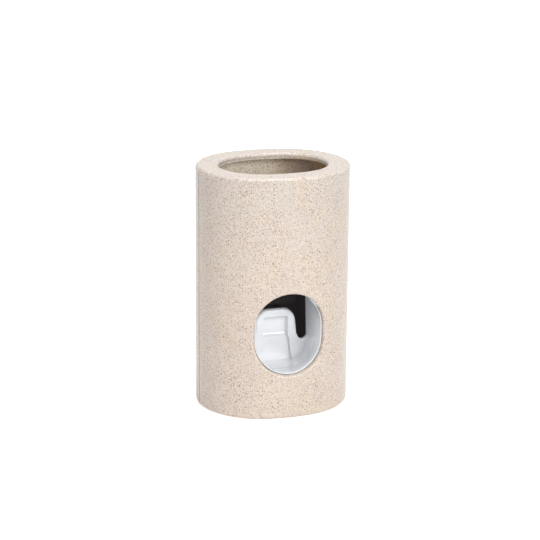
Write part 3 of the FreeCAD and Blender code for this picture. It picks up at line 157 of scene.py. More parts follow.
class ShellFinish(PropertyGroup):
    """The beige, fibre-filled plastic of the housing."""

    base: colour("Base", (0.728, 0.628, 0.553), "Plain beige between the specks")
    rosy: colour("Rosy", (0.69, 0.58, 0.53), "Faint rosy clouds")
    straw: colour("Straw", (0.71, 0.61, 0.49), "Faint straw-coloured clouds")
    # Painted light and shade on the inner faces: a lighter, warmer beige stands in for the light
    # falling in through the rim, and it turns to a painted brown shade on the right-hand side,
    # where the rim shades the inside.
    inner: colour("Inner", (0.95, 0.87, 0.74), "Beige of the shells' inner faces")
    inner_painted_shade: colour("Inner brown", (0.42, 0.25, 0.11), "The same on their right-hand side")
    inner_shade_start: length("Inner start", 4 * MM, "Middle to where the inner faces turn browner")
    inner_shade_end: length("Inner end", 25 * MM, "Middle to where they are brownest")
    seam: colour("Seam", (0.16, 0.12, 0.09), "Shade in the open line along the seam")
    seam_place: length("Seam place", -2.2 * MM, "Middle of that line, from front to back")
    seam_width: length("Seam width", 0.65 * MM, "Width of that line")
    brown: colour("Brown", (0.22, 0.10, 0.022), "Brown specks")
    grey: colour("Grey", (0.20, 0.105, 0.03), "Grey specks")
    pale: colour("Pale", (0.93, 0.905, 0.87), "Pale grains")
    pale_depth: share("Pale depth", 0.5, "How light the pale grains are")
    # Painted shade: a darker, cooler beige towards the top, where less light falls on the
    # housing.
    top_shade: colour("Cool", (0.645, 0.593, 0.553), "Cooler beige towards the top")
    top_shade_start: length("Cool start", 60 * MM, "Height where the cooler beige begins")
    top_shade_depth: share("Cool depth", 0.6, "How far it goes at the top")
    cloud_size: length("Cloud size", 16 * MM, "Width of a cloud")
    cloud_depth: share("Cloud depth", 0.55, "How strongly the clouds tint the base")
    speck_spacing: length("Speck spacing", 0.92 * MM, "Spacing of the larger specks")
    fleck_spacing: length("Fleck spacing", 0.6 * MM, "Spacing of the fine specks")
    speck_depth: share("Speck depth", 1.0, "How dark the larger specks are")
    fleck_depth: share("Fleck depth", 0.6, "How dark the fine specks are")
    dust_size: length("Dust size", 0.38 * MM, "Width of the finest mottling")
    dust_depth: share("Dust depth", 0.38, "How dark the finest mottling is")
    grain_size: length("Grain size", 0.35 * MM, "Grain of the moulded surface")
    grain_depth: length("Grain depth", 0.02 * MM, "Height of that grain")
    roughness: share("Roughness", 0.5, "Roughness of the plain plastic")
    polish: share("Polish", 0.4, "Strength of the smooth skin over it")
    polish_roughness: share("Polish roughness", 0.3, "Roughness of that skin")


class PlasticFinish(PropertyGroup):
    """The smooth white and the satin black plastic, steel, rubber and foam."""

    white: colour("White", (0.82, 0.835, 0.865), "Glossy white plastic")
    white_roughness: share("White roughness", 0.22, "Roughness of the white plastic")
    white_coat: share("White coat", 0.5, "Strength of the white plastic's wet gloss")
    # Painted light: the white plastic glows a little, which stands in for light bounced into its
    # shade.
    white_painted_glow: share("White glow", 0.06, "Light scattered inside the white plastic")
    black: colour("Black", (0.010, 0.008, 0.008), "Satin black plastic")
    black_roughness: share("Black roughness", 0.7, "Roughness of the black plastic")
    # Painted light: the black plastic glows faintly, so that its shaded parts look evenly lit.
    black_painted_glow: share("Black glow", 0.012, "Haze of light over the black plastic")
    black_gloss: share("Black gloss", 0.12, "Strength of the black plastic's reflections")
    steel: colour("Steel", (0.62, 0.62, 0.63), "Bright drawn steel")
    steel_roughness: share("Steel roughness", 0.28, "Roughness of the steel")
    rubber: colour("Rubber", (0.035, 0.035, 0.038), "Dark silicone")
    rubber_roughness: share("Rubber roughness", 0.6, "Roughness of the silicone")
    foam: colour("Foam", (0.72, 0.73, 0.74), "Pale adhesive foam")
    edge_radius: length("Edge radius", 0.25 * MM, "Softness of the moulded edges")


class SpringShape(PropertyGroup):
    """Both return springs."""

    turns: IntProperty(name="Turns", description="Open turns", default=8, min=1)
    closed_turns: FloatProperty(
        name="Closed turns", description="Turns that lie together at each end", default=0.9,
        min=0)
    wire: length("Wire", 0.7 * MM, "Thickness of the wire")
    steps: IntProperty(name="Steps", description="Rings of the mesh in each turn", default=36)
    sides: IntProperty(name="Sides", description="Points round the wire", default=12)


class BellowsShape(PropertyGroup):
    """The folded silicone bellows behind the tongue."""

    folds: IntProperty(name="Folds", description="Outward folds", default=4, min=1)
    waist: length("Waist", 7.6 * MM, "Radius inside a fold")
    fold: length("Fold", 9.6 * MM, "Radius outside a fold")
    skin: length("Skin", 1 * MM, "Wall of the bellows")
    cap: length("Cap", 1.3 * MM, "Thickness of the closed front")
    steps: IntProperty(name="Steps", description="Rings of the mesh in each fold", default=20)
    sides: IntProperty(name="Sides", description="Points round the bellows", default=96)


class LipShape(PropertyGroup):
    """The thin lip that carries the push cup's rim into the window."""

    window: length("Window", 17.15 * MM, "Radius of the window's round ends")
    low: length("Low centre", 38.55 * MM, "Height of the window's lower centre")
    high: length("High centre", 45.15 * MM, "Height of the window's upper centre")
    slot: length("Slot", 11.5 * MM, "Middle to the edge of the slot in the cup's roof")
    gap: length("Gap", 0.3 * MM, "Lip to the window's edge")
    thickness: length("Thickness", 0.55 * MM, "Thickness of the lip")
    setback: length("Setback", 2.4 * MM, "Lip behind the housing's front")
    front_radius: length("Front radius", 68.06 * MM, "Radius of the housing's front")
    front_centre: length("Front centre", 36.06 * MM, "Middle to the centre of that front")
    rim_depth: length("Rim depth", 3.8 * MM, "Housing's front to the cup's rim")
    cup_front: length("Cup front", -29.2 * MM, "Where the cup's section is widest")
    cup_deep: length("Cup deep", -3 * MM, "Where the cup's section is narrowest")
    cup_half: length("Cup half", 16.4 * MM, "Half of the cup's widest section")
    cup_rear_half: length("Cup rear half", 15.9 * MM, "Half of its narrowest section")
    cup_corner: length("Cup corner", 14 * MM, "Corner radius of the widest section")
    cup_rear_corner: length("Cup rear corner", 9.7 * MM, "Corner radius of the narrowest")
    cup_floor: length("Cup floor", 20.7 * MM, "Height of the cup's floor")
    cup_ceiling: length("Cup ceiling", 62.8 * MM, "Height of the cup's ceiling")
    end: length("End", -13 * MM, "Where the lip's inner side meets the cup's")
    steps: IntProperty(name="Steps", description="Rings round each end's half", default=28)


class PadShape(PropertyGroup):
    """The foam pad behind the wall plate."""

    corner: length("Corner", 2.4 * MM, "Corner radius of the pad")
    drawn_in: length("Drawn in", 0.12 * MM, "How far the foam's side pulls in")
    steps: IntProperty(name="Steps", description="Points in each corner", default=14)
    rows: IntProperty(name="Rows", description="Rings across the foam's side", default=9)


class Studio(PropertyGroup):
    """Camera, floor and lamps."""

    azimuth: angle("Azimuth", -17.024, "Camera's turn round the object")
    elevation: angle("Elevation", 16.835, "Camera's angle above the horizon")
    roll: angle("Roll", 0.461, "Camera's tilt about its own axis")
    distance: length("Distance", 0.94099, "Camera to the middle of the object")
    middle: length("Middle", 0.0585, "Height of the point that the camera circles")
    aim: FloatVectorProperty(
        name="Aim", description="Point that the camera looks at", size=3, unit="LENGTH",
        default=(-0.00103, 0, 0.0655))
    lens: FloatProperty(name="Lens", description="Focal length in millimetres", default=128.3)
    sensor: FloatProperty(name="Sensor", description="Sensor width in millimetres", default=36)
    floor_size: length("Floor size", 6, "Width of the floor")
    floor_glow: share("Floor glow", 0.62, "Light that only the viewer sees on the floor, nearby")
    near_floor: length("Near floor", 0.12, "Where the floor starts to look whiter")
    far_floor: length("Far floor", 0.6, "Where the floor looks fully white")
    sky: share("Sky", 0.17, "Plain light from all round")
    lamp_distance: length("Lamp distance", 1.1, "Lamps to the middle of the object")
    key_azimuth: angle("Key azimuth", 13, "Turn of the lamp in front")
    key_elevation: angle("Key elevation", 24, "Height of the lamp in front")
    key_size: length("Key size", 0.45, "Width of the lamp in front")
    key_power: power("Key power", 6.15, "Lamp in front, a little to the right")
    key_tint: colour("Key tint", (1.0, 0.99, 0.965), "Colour of the lamp in front")
    left_azimuth: angle("Left azimuth", -66, "Turn of the lamp on the left")
    left_elevation: angle("Left elevation", 6, "Height of the lamp on the left")
    left_size: length("Left size", 0.8, "Width of the lamp on the left")
    left_power: power("Left power", 2.85, "Low lamp on the left-hand side")
    left_tint: colour("Left tint", (1.0, 0.955, 0.91), "Colour of the lamp on the left")
    right_azimuth: angle("Right azimuth", 95, "Turn of the lamp on the right")
    right_elevation: angle("Right elevation", 6, "Height of the lamp on the right")
    right_size: length("Right size", 0.8, "Width of the lamp on the right")
    right_power: power("Right power", 0.2, "Low lamp on the right-hand side")
    right_tint: colour("Right tint", (1.0, 1.0, 1.0), "Colour of the lamp on the right")
    top_azimuth: angle("Top azimuth", 0, "Turn of the lamp overhead")
    top_elevation: angle("Top elevation", 85, "Height of the lamp overhead")
    top_size: length("Top size", 0.6, "Width of the lamp overhead")
    top_power: power("Top power", 10.5, "Lamp overhead")
    top_tint: colour("Top tint", (0.95, 0.985, 1.0), "Colour of the lamp overhead")


class DispenserSettings(PropertyGroup):
    """Everything that the panel shows."""

    shells: PointerProperty(type=ShellFinish)
    plastic: PointerProperty(type=PlasticFinish)
    spring: PointerProperty(type=SpringShape)
    bellows: PointerProperty(type=BellowsShape)
    lip: PointerProperty(type=LipShape)
    pad: PointerProperty(type=PadShape)
    studio: PointerProperty(type=Studio)


class Finish:
    """A material under construction: its tree, its shader and the object's own coordinates."""

    def __init__(self, name):
        self.material = bpy.data.materials.new(name)
        self.material.use_nodes = True
        self.tree = self.material.node_tree
        self.shader = self.tree.nodes["Principled BSDF"]
        self.place = self.tree.nodes.new("ShaderNodeTexCoord").outputs["Object"]

    def node(self, kind, settings=(), **inputs):
        """Add a node with settings on itself and values or links on its inputs."""
        made = self.tree.nodes.new(kind)
        for key, value in dict(settings).items():
            setattr(made, key, value)
        for key, value in inputs.items():
            self.feed(made.inputs[key.replace("_", " ")], value)
        return made

    def feed(self, socket, value):
        """Join an output to a socket, or set the socket's own value."""
        if isinstance(value, bpy.types.NodeSocket):
            self.tree.links.new(value, socket)
        elif hasattr(value, "__len__") and len(value) == 3 and socket.type == "RGBA":
            socket.default_value = (*value, 1)
        else:
            socket.default_value = value

    def surface(self, **values):
        """Set the shader's own sockets."""
        for key, value in values.items():
            self.feed(self.shader.inputs[key.replace("_", " ")], value)

    def math(self, kind, first, second=0.0):
        """A sum, product or comparison of two numbers."""
        made = self.node("ShaderNodeMath", {"operation": kind})
        self.feed(made.inputs[0], first)
        self.feed(made.inputs[1], second)
        return made.outputs[0]

    def ramp(self, value, start, end, low=0.0, high=1.0):
        """A smooth change from low to high as the value goes from start to end."""
        made = self.node(
            "ShaderNodeMapRange", {"interpolation_type": "SMOOTHSTEP"}, Value=value,
            From_Min=start, From_Max=end, To_Min=low, To_Max=high)
        return made.outputs["Result"]

    def mix(self, share_, first, second):
        """Two colours in a share."""
        made = self.node("ShaderNodeMix", {"data_type": "RGBA"})
        self.feed(made.inputs[0], share_)
        self.feed(made.inputs[6], first)
        self.feed(made.inputs[7], second)
        return made.outputs[2]

    def noise(self, size, detail=2.0):
        """Cloudy noise whose features are about as wide as the given size."""
        return self.node(
            "ShaderNodeTexNoise", Vector=self.place, Scale=1 / size, Detail=detail).outputs[0]

    def grains(self, spacing, radius, spread, presence):
        """Round grains scattered through the plastic and cut by its surface.

        A point is in a grain where its distance to the nearest seed, counted in
        spacings, is under the radius. Only a share of the seeds carries a grain.
        Returns how much of a grain there is, and a random number for each grain.
        """
        cells = self.node(
            "ShaderNodeTexVoronoi", {"feature": "F1"}, Vector=self.place, Scale=1 / spacing)
        chance = self.node("ShaderNodeSeparateColor", Color=cells.outputs["Color"])
        inside = self.ramp(cells.outputs["Distance"], radius, radius - spread)
        carried = self.math("LESS_THAN", chance.outputs[0], presence)
        return self.math("MULTIPLY", inside, carried), chance.outputs[1]

    def relief(self, height, distance, edge_radius=0.0):
        """Bump on the shader's normal, over edges that look rounded by a small radius."""
        normal = {}
        if edge_radius:
            bevel = self.node("ShaderNodeBevel", {"samples": BEVEL_SAMPLES}, Radius=edge_radius)
            normal["Normal"] = bevel.outputs[0]
        bump = self.node(
            "ShaderNodeBump", Strength=1.0, Distance=distance, Height=height, **normal)
        self.feed(self.shader.inputs["Normal"], bump.outputs[0])


def painted_inside_share(finish):
    """One on the shells' inner faces, nought outside: where the painted light and shade of the
    inside go.

    The measure is the distance from the upright axis, with X counted in half widths and
    Y in half depths of the housing: one on its outside and less within. The turned-in
    rim's top is left out, and so is the wall plate's recess in the back.
    """
    low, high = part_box("front_shell")
    half = Vector((high.x, -low.y))
    across = finish.node("ShaderNodeSeparateXYZ", Vector=finish.place)
    side = finish.math("DIVIDE", across.outputs[0], half.x)
    ahead = finish.math("DIVIDE", across.outputs[1], half.y)
    squares = finish.math(
        "ADD", finish.math("MULTIPLY", side, side), finish.math("MULTIPLY", ahead, ahead))
    within = finish.ramp(finish.math("SQRT", squares), INNER_BEGINS, INNER_REACHED)
    below = finish.ramp(across.outputs[2], high.z - RIM_SKIN, high.z - RIM_INSIDE)
    recess_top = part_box("wall_plate")[1].z + RECESS_SPARE
    recess = finish.math(
        "MULTIPLY", finish.math("GREATER_THAN", ahead, RECESS_MEASURE),
        finish.math("LESS_THAN", across.outputs[2], recess_top))
    within = finish.math("SUBTRACT", within, recess)
    return finish.math("MULTIPLY", finish.math("MAXIMUM", within, 0), below)


def seam_share(finish, look):
    """One in the open line along the seam, which runs up both sides to the rim."""
    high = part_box("front_shell")[1]
    across = finish.node("ShaderNodeSeparateXYZ", Vector=finish.place)
    off = finish.math(
        "ABSOLUTE", finish.math("SUBTRACT", across.outputs[1], look.seam_place))
    line = finish.ramp(off, look.seam_width / 2, look.seam_width / 2 - SEAM_BLUR)
    below = finish.ramp(across.outputs[2], high.z - SEAM_TOP, high.z - SEAM_FULL)
    return finish.math("MULTIPLY", line, below)


def shell_material(look):
    """Beige plastic: clouds of two tints, larger and finer specks, and a moulded grain, with a
    painted shade towards the top and painted light and shade on the inner faces.
    """
    finish = Finish("speckled beige plastic")
    rosy = finish.ramp(finish.noise(look.cloud_size), *ROSY_RANGE, high=look.cloud_depth)
    straw = finish.ramp(
        finish.noise(look.cloud_size * STRAW_SIZE), *STRAW_RANGE, high=look.cloud_depth)
    side, _, height = finish.node("ShaderNodeSeparateXYZ", Vector=finish.place).outputs
    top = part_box("front_shell")[1].z
    # Painted shade: the beige turns darker and cooler towards the top.
    top_shade = finish.ramp(height, look.top_shade_start, top, high=look.top_shade_depth)
    plain = finish.mix(top_shade, look.base, look.top_shade)
    plain = finish.mix(rosy, plain, look.rosy)
    plain = finish.mix(straw, plain, look.straw)
    # Painted light and shade: the inner faces take a lighter beige, which turns to a painted
    # brown shade towards their right-hand side.
    inner = finish.mix(
        finish.ramp(side, look.inner_shade_start, look.inner_shade_end), look.inner, look.inner_painted_shade)
    plain = finish.mix(painted_inside_share(finish), plain, inner)
    specks, chance = finish.grains(look.speck_spacing, *SPECKS)
    flecks, _ = finish.grains(look.fleck_spacing, *FLECKS)
    tint = finish.mix(finish.ramp(finish.noise(TINT_SIZE), *TINT_RANGE), look.brown, look.grey)
    dust = finish.ramp(finish.noise(look.dust_size, 1), *DUST_RANGE, high=look.dust_depth)
    dusty = finish.mix(dust, plain, look.brown)
    pale, _ = finish.grains(look.fleck_spacing * PALE_SPACING, *PALE_GRAINS)
    dusty = finish.mix(finish.math("MULTIPLY", pale, look.pale_depth), dusty, look.pale)
    flecked = finish.mix(finish.math("MULTIPLY", flecks, look.fleck_depth), dusty, tint)
    depth = finish.ramp(chance, 0, 1, look.speck_depth * PALEST_SPECK, look.speck_depth)
    coloured = finish.mix(finish.math("MULTIPLY", specks, depth), flecked, tint)
    coloured = finish.mix(seam_share(finish, look), coloured, look.seam)
    grain = finish.noise(look.grain_size)
    finish.surface(
        Base_Color=coloured,
        Roughness=finish.ramp(
            grain, *GLOSS_RANGE, look.roughness - GLOSS_SWING, look.roughness + GLOSS_SWING),
        Coat_Weight=look.polish, Coat_Roughness=look.polish_roughness)
    finish.relief(grain, look.grain_depth, SHELL_EDGE)
    return finish.material


def moulded_material(name, tint, roughness, edge_radius, mottle=0.04, **more):
    """Moulded plastic or rubber: near-even colour, uneven gloss and a faint grain."""
    finish = Finish(name)
    cloud = finish.noise(MOULD_CLOUD)
    grain = finish.noise(MOULD_GRAIN)
    darker = [channel * (1 - mottle) for channel in tint]
    finish.surface(
        Base_Color=finish.mix(finish.ramp(cloud, *MOULD_RANGE), tint, darker),
        Roughness=finish.ramp(
            cloud, *GLOSS_RANGE, *(roughness * swing for swing in MOULD_GLOSS)), **more)
    finish.relief(grain, MOULD_RELIEF, edge_radius)
    return finish.material


def steel_material(look):
    """Drawn steel: fine lengthwise streaks in brightness and gloss."""
    finish = Finish("bright drawn steel")
    stretched = finish.node(
        "ShaderNodeMapping", Vector=finish.place, Scale=STREAK_STRETCH).outputs[0]
    streaks = finish.node(
        "ShaderNodeTexNoise", Vector=stretched, Scale=1 / STREAK_SIZE, Detail=3).outputs[0]
    darker = [channel * STEEL_DARK for channel in look.steel]
    finish.surface(
        Base_Color=finish.mix(finish.ramp(streaks, *STEEL_RANGE), look.steel, darker),
        Metallic=1.0,
        Roughness=finish.ramp(
            streaks, *GLOSS_RANGE, *(look.steel_roughness * swing for swing in STEEL_GLOSS)))
    finish.relief(streaks, STREAK_RELIEF, look.edge_radius / 2)
    return finish.material


def foam_material(look):
    """Closed-cell foam: small pits, darker at their bottom."""
    finish = Finish("pale adhesive foam")
    cells = finish.node(
        "ShaderNodeTexVoronoi", Vector=finish.place, Scale=1 / FOAM_CELL).outputs["Distance"]
    darker = [channel * FOAM_DARK for channel in look.foam]
    finish.surface(
        Base_Color=finish.mix(finish.ramp(cells, *FOAM_RANGE), darker, look.foam),
        Roughness=FOAM_ROUGHNESS)
    finish.relief(cells, FOAM_PIT)
    return finish.material


def give(names, material):
    """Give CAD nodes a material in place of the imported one."""
    for name in names:
        node = frame["nodes"][name]
        if not node.material_slots:
            node.data.materials.append(material)
        for slot in node.material_slots:
            slot.material = material


def skin_object(name, rings, poles, material):
    """A closed mesh from a grid of points.

    The rows of the grid are rings, each closed on itself. Neighbouring rings are joined
    by quads, and the first and last ring are closed by triangles that meet in a pole.
    The faces are turned round if they would enclose a negative volume.
    """
    rows, columns = rings.shape[:2]
    index = np.arange(rows * columns).reshape(rows, columns)
    beside = np.roll(index, -1, axis=1)
    quads = np.stack([index[:-1], beside[:-1], beside[1:], index[1:]], axis=-1).reshape(-1, 4)
    first, last = rows * columns, rows * columns + 1
    start = np.stack([beside[0], index[0], np.full(columns, first)], axis=-1)
    end = np.stack([index[-1], beside[-1], np.full(columns, last)], axis=-1)
    points = np.vstack([rings.reshape(-1, 3), poles])
    halves = np.vstack([quads[:, :3], quads[:, [0, 2, 3]], start, end])
    a, b, c = (points[halves[:, corner]] for corner in range(3))
    if np.einsum("ij,ij->i", a, np.cross(b, c)).sum() < 0:
        quads, start, end = quads[:, ::-1], start[:, ::-1], end[:, ::-1]
    mesh = bpy.data.meshes.new(name)
    mesh.from_pydata(points.tolist(), [], quads.tolist() + start.tolist() + end.tolist())
    mesh.validate()
    mesh.materials.append(material)
    mesh.polygons.foreach_set("use_smooth", np.ones(len(mesh.polygons), bool))
    made = bpy.data.objects.new(name, mesh)
    bpy.context.scene.collection.objects.link(made)
    return made


def spring_rings(shape, low, high):
    """A wire wound about an axis along Y.

    The wire's middle is a circle that climbs: slowly over the closed turns at both
    ends, by one wire thickness a turn, and evenly between. Each ring is a circle of
    the wire's radius, across the wire's direction.
    """
    radius = (high.x - low.x - shape.wire) / 2
    centre = (low + high) / 2
    turns = shape.turns + 2 * shape.closed_turns
    turn = np.linspace(0, turns, int(turns * shape.steps) + 1)
    inner = high.y - low.y - shape.wire
    close = shape.closed_turns * shape.wire
    knots = [0, shape.closed_turns, turns - shape.closed_turns, turns]
    climb = np.interp(turn, knots, [0, close, inner - close, inner])
    angle = 2 * np.pi * turn
    outward = np.stack([np.cos(angle), np.zeros_like(angle), np.sin(angle)], axis=-1)
    middle = outward * radius
    middle += np.array([centre.x, low.y + shape.wire / 2, centre.z])
    middle[:, 1] += climb
    along = np.gradient(middle, axis=0)
    along /= np.linalg.norm(along, axis=1, keepdims=True)
    across = np.cross(along, outward)
    around = np.linspace(0, 2 * np.pi, shape.sides, endpoint=False)[None, :, None]
    wire = shape.wire / 2
    rings = middle[:, None] + wire * (
        np.cos(around) * outward[:, None] + np.sin(around) * across[:, None])
    return rings, middle[[0, -1]]


def bellows_rings(shape, low, high):
    """A profile turned about an axis along Y.

    The folds' radius is a cosine of the way along, between waist and fold. The profile
    runs from the middle of the closed front out and along the folds to the flange, then
    back inside, one skin smaller, to the middle of the cap.
    """
    size = high.y - low.y
    flange = (high.x - low.x) / 2
    count = shape.folds * shape.steps + 1
    way = np.linspace(0, 1, count)
    middle = (shape.waist + shape.fold) / 2
    swing = (shape.fold - shape.waist) / 2
    fold = middle - swing * np.cos(2 * np.pi * shape.folds * way)
    run = shape.cap + way * (size - shape.skin - shape.cap)
    bend = np.linspace(0, np.pi / 2, BEND_POINTS)[1:-1]
    corner = shape.cap / 2
    outside = np.vstack([
        np.stack([shape.waist - corner + corner * np.sin(bend),
                  corner - corner * np.cos(bend)], axis=-1),
        np.stack([fold, run], axis=-1),
        [(flange - corner, size - shape.skin), (flange, size - shape.skin + corner / 2),
         (flange, size)]])
    inside = np.stack([fold - shape.skin, run], axis=-1)[::-1]
    profile = np.vstack([outside, [(shape.waist - shape.skin, size)], inside])
    around = np.linspace(0, 2 * np.pi, shape.sides, endpoint=False)
    radius = profile[:, :1]
    rings = np.stack([
        radius * np.cos(around), np.repeat(profile[:, 1:], shape.sides, axis=1),
        radius * np.sin(around)], axis=-1)
    centre = np.array([(low.x + high.x) / 2, low.y, (low.z + high.z) / 2])
    poles = np.array([(0, 0, 0), (0, shape.cap, 0)])
    return rings + centre, poles + centre


def cup_reach(shape, angle, centre, depth):
    """How far the cup's inside is from a centre on its middle line, along an angle.

    The section is a tall box with rounded corners. The reach is the nearest of the flat
    side and the flat floor or ceiling, or that of the corner's circle where the ray ends
    beyond both of the circle's tangent points.
    """
    way = (depth - shape.cup_front) / (shape.cup_deep - shape.cup_front)
    half = shape.cup_half + way * (shape.cup_rear_half - shape.cup_half)
    corner = shape.cup_corner + way * (shape.cup_rear_corner - shape.cup_corner)
    over, up = np.abs(np.cos(angle)), np.sin(angle)
    room = np.where(up < 0, centre - shape.cup_floor, shape.cup_ceiling - centre)
    up = np.abs(up)
    flat = np.minimum(half / np.maximum(over, TINY), room / np.maximum(up, TINY))
    side, level = half - corner, room - corner
    along = over * side + up * level
    square = along ** 2 - side ** 2 - level ** 2 + corner ** 2
    curved = along + np.sqrt(np.maximum(square, 0))
    beyond = (curved * over > side) & (curved * up > level)
    return np.where(beyond, curved, flat)


def lip_rings(shape):
    """A bead in the window that widens inwards until it meets the cup's inner side.

    The path is the window's outline from one edge of the roof's slot down and up again
    to the other. On each place of the path, the profile is a half circle at the front,
    then a smooth step from the lip's inner radius to the cup's inside, and its way back
    inside the cup's wall and up to the window.
    """
    outer = shape.window - shape.gap
    inner = outer - shape.thickness
    opening = math.acos(shape.slot / outer)
    head = np.linspace(opening, 0, shape.steps // 2)
    foot = np.linspace(0, -np.pi, 2 * shape.steps)
    run = np.linspace(shape.high, shape.low, shape.steps // 2)[1:-1]
    angle = np.concatenate([
        head, np.zeros(len(run)), foot, np.full(len(run), -np.pi), -np.pi - head[::-1]])
    centre = np.concatenate([
        np.full(len(head), shape.high), run, np.full(len(foot), shape.low), run[::-1],
        np.full(len(head), shape.high)])
    angle, centre = angle[:, None], centre[:, None]
    side = outer * np.cos(angle)
    surface = shape.front_centre - np.sqrt(shape.front_radius ** 2 - side ** 2)
    rim = shape.front_centre - np.sqrt((shape.front_radius - shape.rim_depth) ** 2 - side ** 2)
    bead = shape.thickness / 2
    sink = np.clip(np.where(angle < -np.pi / 2, -np.pi - angle, angle) / opening, 0, 1)
    start = surface + shape.setback + bead + sink ** 2 * (rim - surface)
    turn = np.linspace(0, np.pi, BEAD_POINTS)[None]
    bead_radius = outer - bead + bead * np.cos(turn) + 0 * angle
    bead_depth = start - bead * np.sin(turn)
    way = np.linspace(0, 1, STEP_POINTS)[None, 1:]
    depth = start + (shape.end - start) * way
    smooth = way + way ** 2 - way ** 3
    reach = cup_reach(shape, angle, centre, depth) + LIP_HIDDEN * shape.thickness
    step = inner + (reach - inner) * smooth
    back_depth = np.concatenate([depth[:, -1:], rim + bead, rim + bead], axis=1)
    back = cup_reach(shape, angle, centre, back_depth) + LIP_BURIED * shape.thickness
    back[:, 2] = outer
    radius = np.concatenate([bead_radius, step, back], axis=1)
    deep = np.concatenate([bead_depth, depth, back_depth], axis=1)
    rings = np.stack([radius * np.cos(angle), deep, centre + radius * np.sin(angle)], axis=-1)
    ends = rings[[0, -1]]
    return rings, (ends[:, BEAD_POINTS // 2] + ends[:, BEAD_POINTS]) / 2


def pad_rings(shape, low, high):
    """A flat pad with round corners whose side is drawn in between its two faces.

    A point is a corner of the inner rectangle plus the corner radius along its
    direction. The rings go from the middle of one face to its edge, over the side,
    which pulls in by a sine of the way across, and back over the other face.
    """
    size = high - low
    corner = shape.corner
    turn = np.linspace(0, np.pi / 2, shape.steps)
    angle = (np.arange(4)[:, None] * np.pi / 2 + turn).ravel()
    sign_x = np.repeat([1, -1, -1, 1], shape.steps)
    sign_z = np.repeat([1, 1, -1, -1], shape.steps)
    core_x = sign_x * (size.x / 2 - corner)
    core_z = sign_z * (size.z / 2 - corner)
    across = np.linspace(0, 1, shape.rows)
    reach = corner - shape.drawn_in * np.sin(np.pi * across)
    faces = np.linspace(*FACE_SHARES, FACE_RINGS)
    core = np.concatenate([faces, np.ones(shape.rows), faces[::-1]])[:, None]
    rounding = np.concatenate([faces * corner, reach, faces[::-1] * corner])[:, None]
    depth = np.concatenate(
        [np.zeros(FACE_RINGS), across, np.ones(FACE_RINGS)])[:, None] * size.y
    rings = np.stack([
        core * core_x + rounding * np.cos(angle),
        np.repeat(depth, len(angle), axis=1),
        core * core_z + rounding * np.sin(angle)], axis=-1)
    centre = np.array([(low.x + high.x) / 2, low.y, (low.z + high.z) / 2])
    poles = np.array([(0, 0, 0), (0, size.y, 0)])
    return rings + centre, poles + centre


class DISPENSER_OT_shells(Operator):
    """Give the two shells and the base plate their speckled plastic"""

    bl_idname = "dispenser.shells"
    bl_label = "Speckled shells"

    def execute(self, context):
        give(SHELL_NODES, shell_material(context.scene.dispenser.shells))
        return {"FINISHED"}


class DISPENSER_OT_white_parts(Operator):
    """Give the push cup, the tube socket and the wall plate their glossy white plastic"""

    bl_idname = "dispenser.white_parts"
    bl_label = "White parts"

    def execute(self, context):
        look = context.scene.dispenser.plastic
        # The white plastic carries a painted glow.
        give(WHITE_NODES, moulded_material(
            "glossy white plastic", look.white, look.white_roughness, look.edge_radius,
            Coat_Weight=look.white_coat, Coat_Roughness=WHITE_COAT_ROUGHNESS,
            Emission_Color=WHITE_GLOW_TINT, Emission_Strength=look.white_painted_glow))
        return {"FINISHED"}


class DISPENSER_OT_black_parts(Operator):
    """Give the pump and its frame their satin black plastic"""

    bl_idname = "dispenser.black_parts"
    bl_label = "Black parts"

    def execute(self, context):
        look = context.scene.dispenser.plastic
        # The black plastic carries a faint painted glow.
        give(BLACK_NODES, moulded_material(
            "satin black plastic", look.black, look.black_roughness, look.edge_radius,
            mottle=BLACK_MOTTLE, Specular_IOR_Level=look.black_gloss,
            Emission_Color=BLACK_GLOW_TINT, Emission_Strength=look.black_painted_glow))
        return {"FINISHED"}


class DISPENSER_OT_steel_parts(Operator):
    """Give rods, clips and screws their steel"""

    bl_idname = "dispenser.steel_parts"
    bl_label = "Steel parts"

    def execute(self, context):
        give(STEEL_NODES, steel_material(context.scene.dispenser.plastic))
        return {"FINISHED"}


class DISPENSER_OT_rubber_parts(Operator):
    """Give the seal, the valve and the slit lip their silicone"""

    bl_idname = "dispenser.rubber_parts"
    bl_label = "Rubber parts"

    def execute(self, context):
        look = context.scene.dispenser.plastic
        give(RUBBER_NODES, moulded_material(
            "dark silicone", look.rubber, look.rubber_roughness, look.edge_radius,
            mottle=RUBBER_MOTTLE))
        return {"FINISHED"}


class DISPENSER_OT_springs(Operator):
    """Wind the two return springs"""

    bl_idname = "dispenser.springs"
    bl_label = "Return springs"

    def execute(self, context):
        settings = context.scene.dispenser
        steel = steel_material(settings.plastic)
        for side in ("left", "right"):
            node = f"{side}_return_spring"
            low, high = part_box(node)
            coil = skin_object(f"{node}_coil", *spring_rings(settings.spring, low, high), steel)
            stand_in(coil, node)
            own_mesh(coil)
        return {"FINISHED"}


class DISPENSER_OT_bellows(Operator):
    """Mould the silicone bellows behind the tongue"""

    bl_idname = "dispenser.bellows"
    bl_label = "Pump bellows"

    def execute(self, context):
        settings = context.scene.dispenser
        look = settings.plastic
        silicone = moulded_material(
            "grey silicone", look.rubber, look.rubber_roughness, 0, mottle=RUBBER_MOTTLE)
        rings, poles = bellows_rings(settings.bellows, BELLOWS_LOW, BELLOWS_HIGH)
        skin = skin_object("pump_bellows_skin", rings, poles, silicone)
        stand_in(skin, "pump_bellows")
        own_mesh(skin)
        return {"FINISHED"}


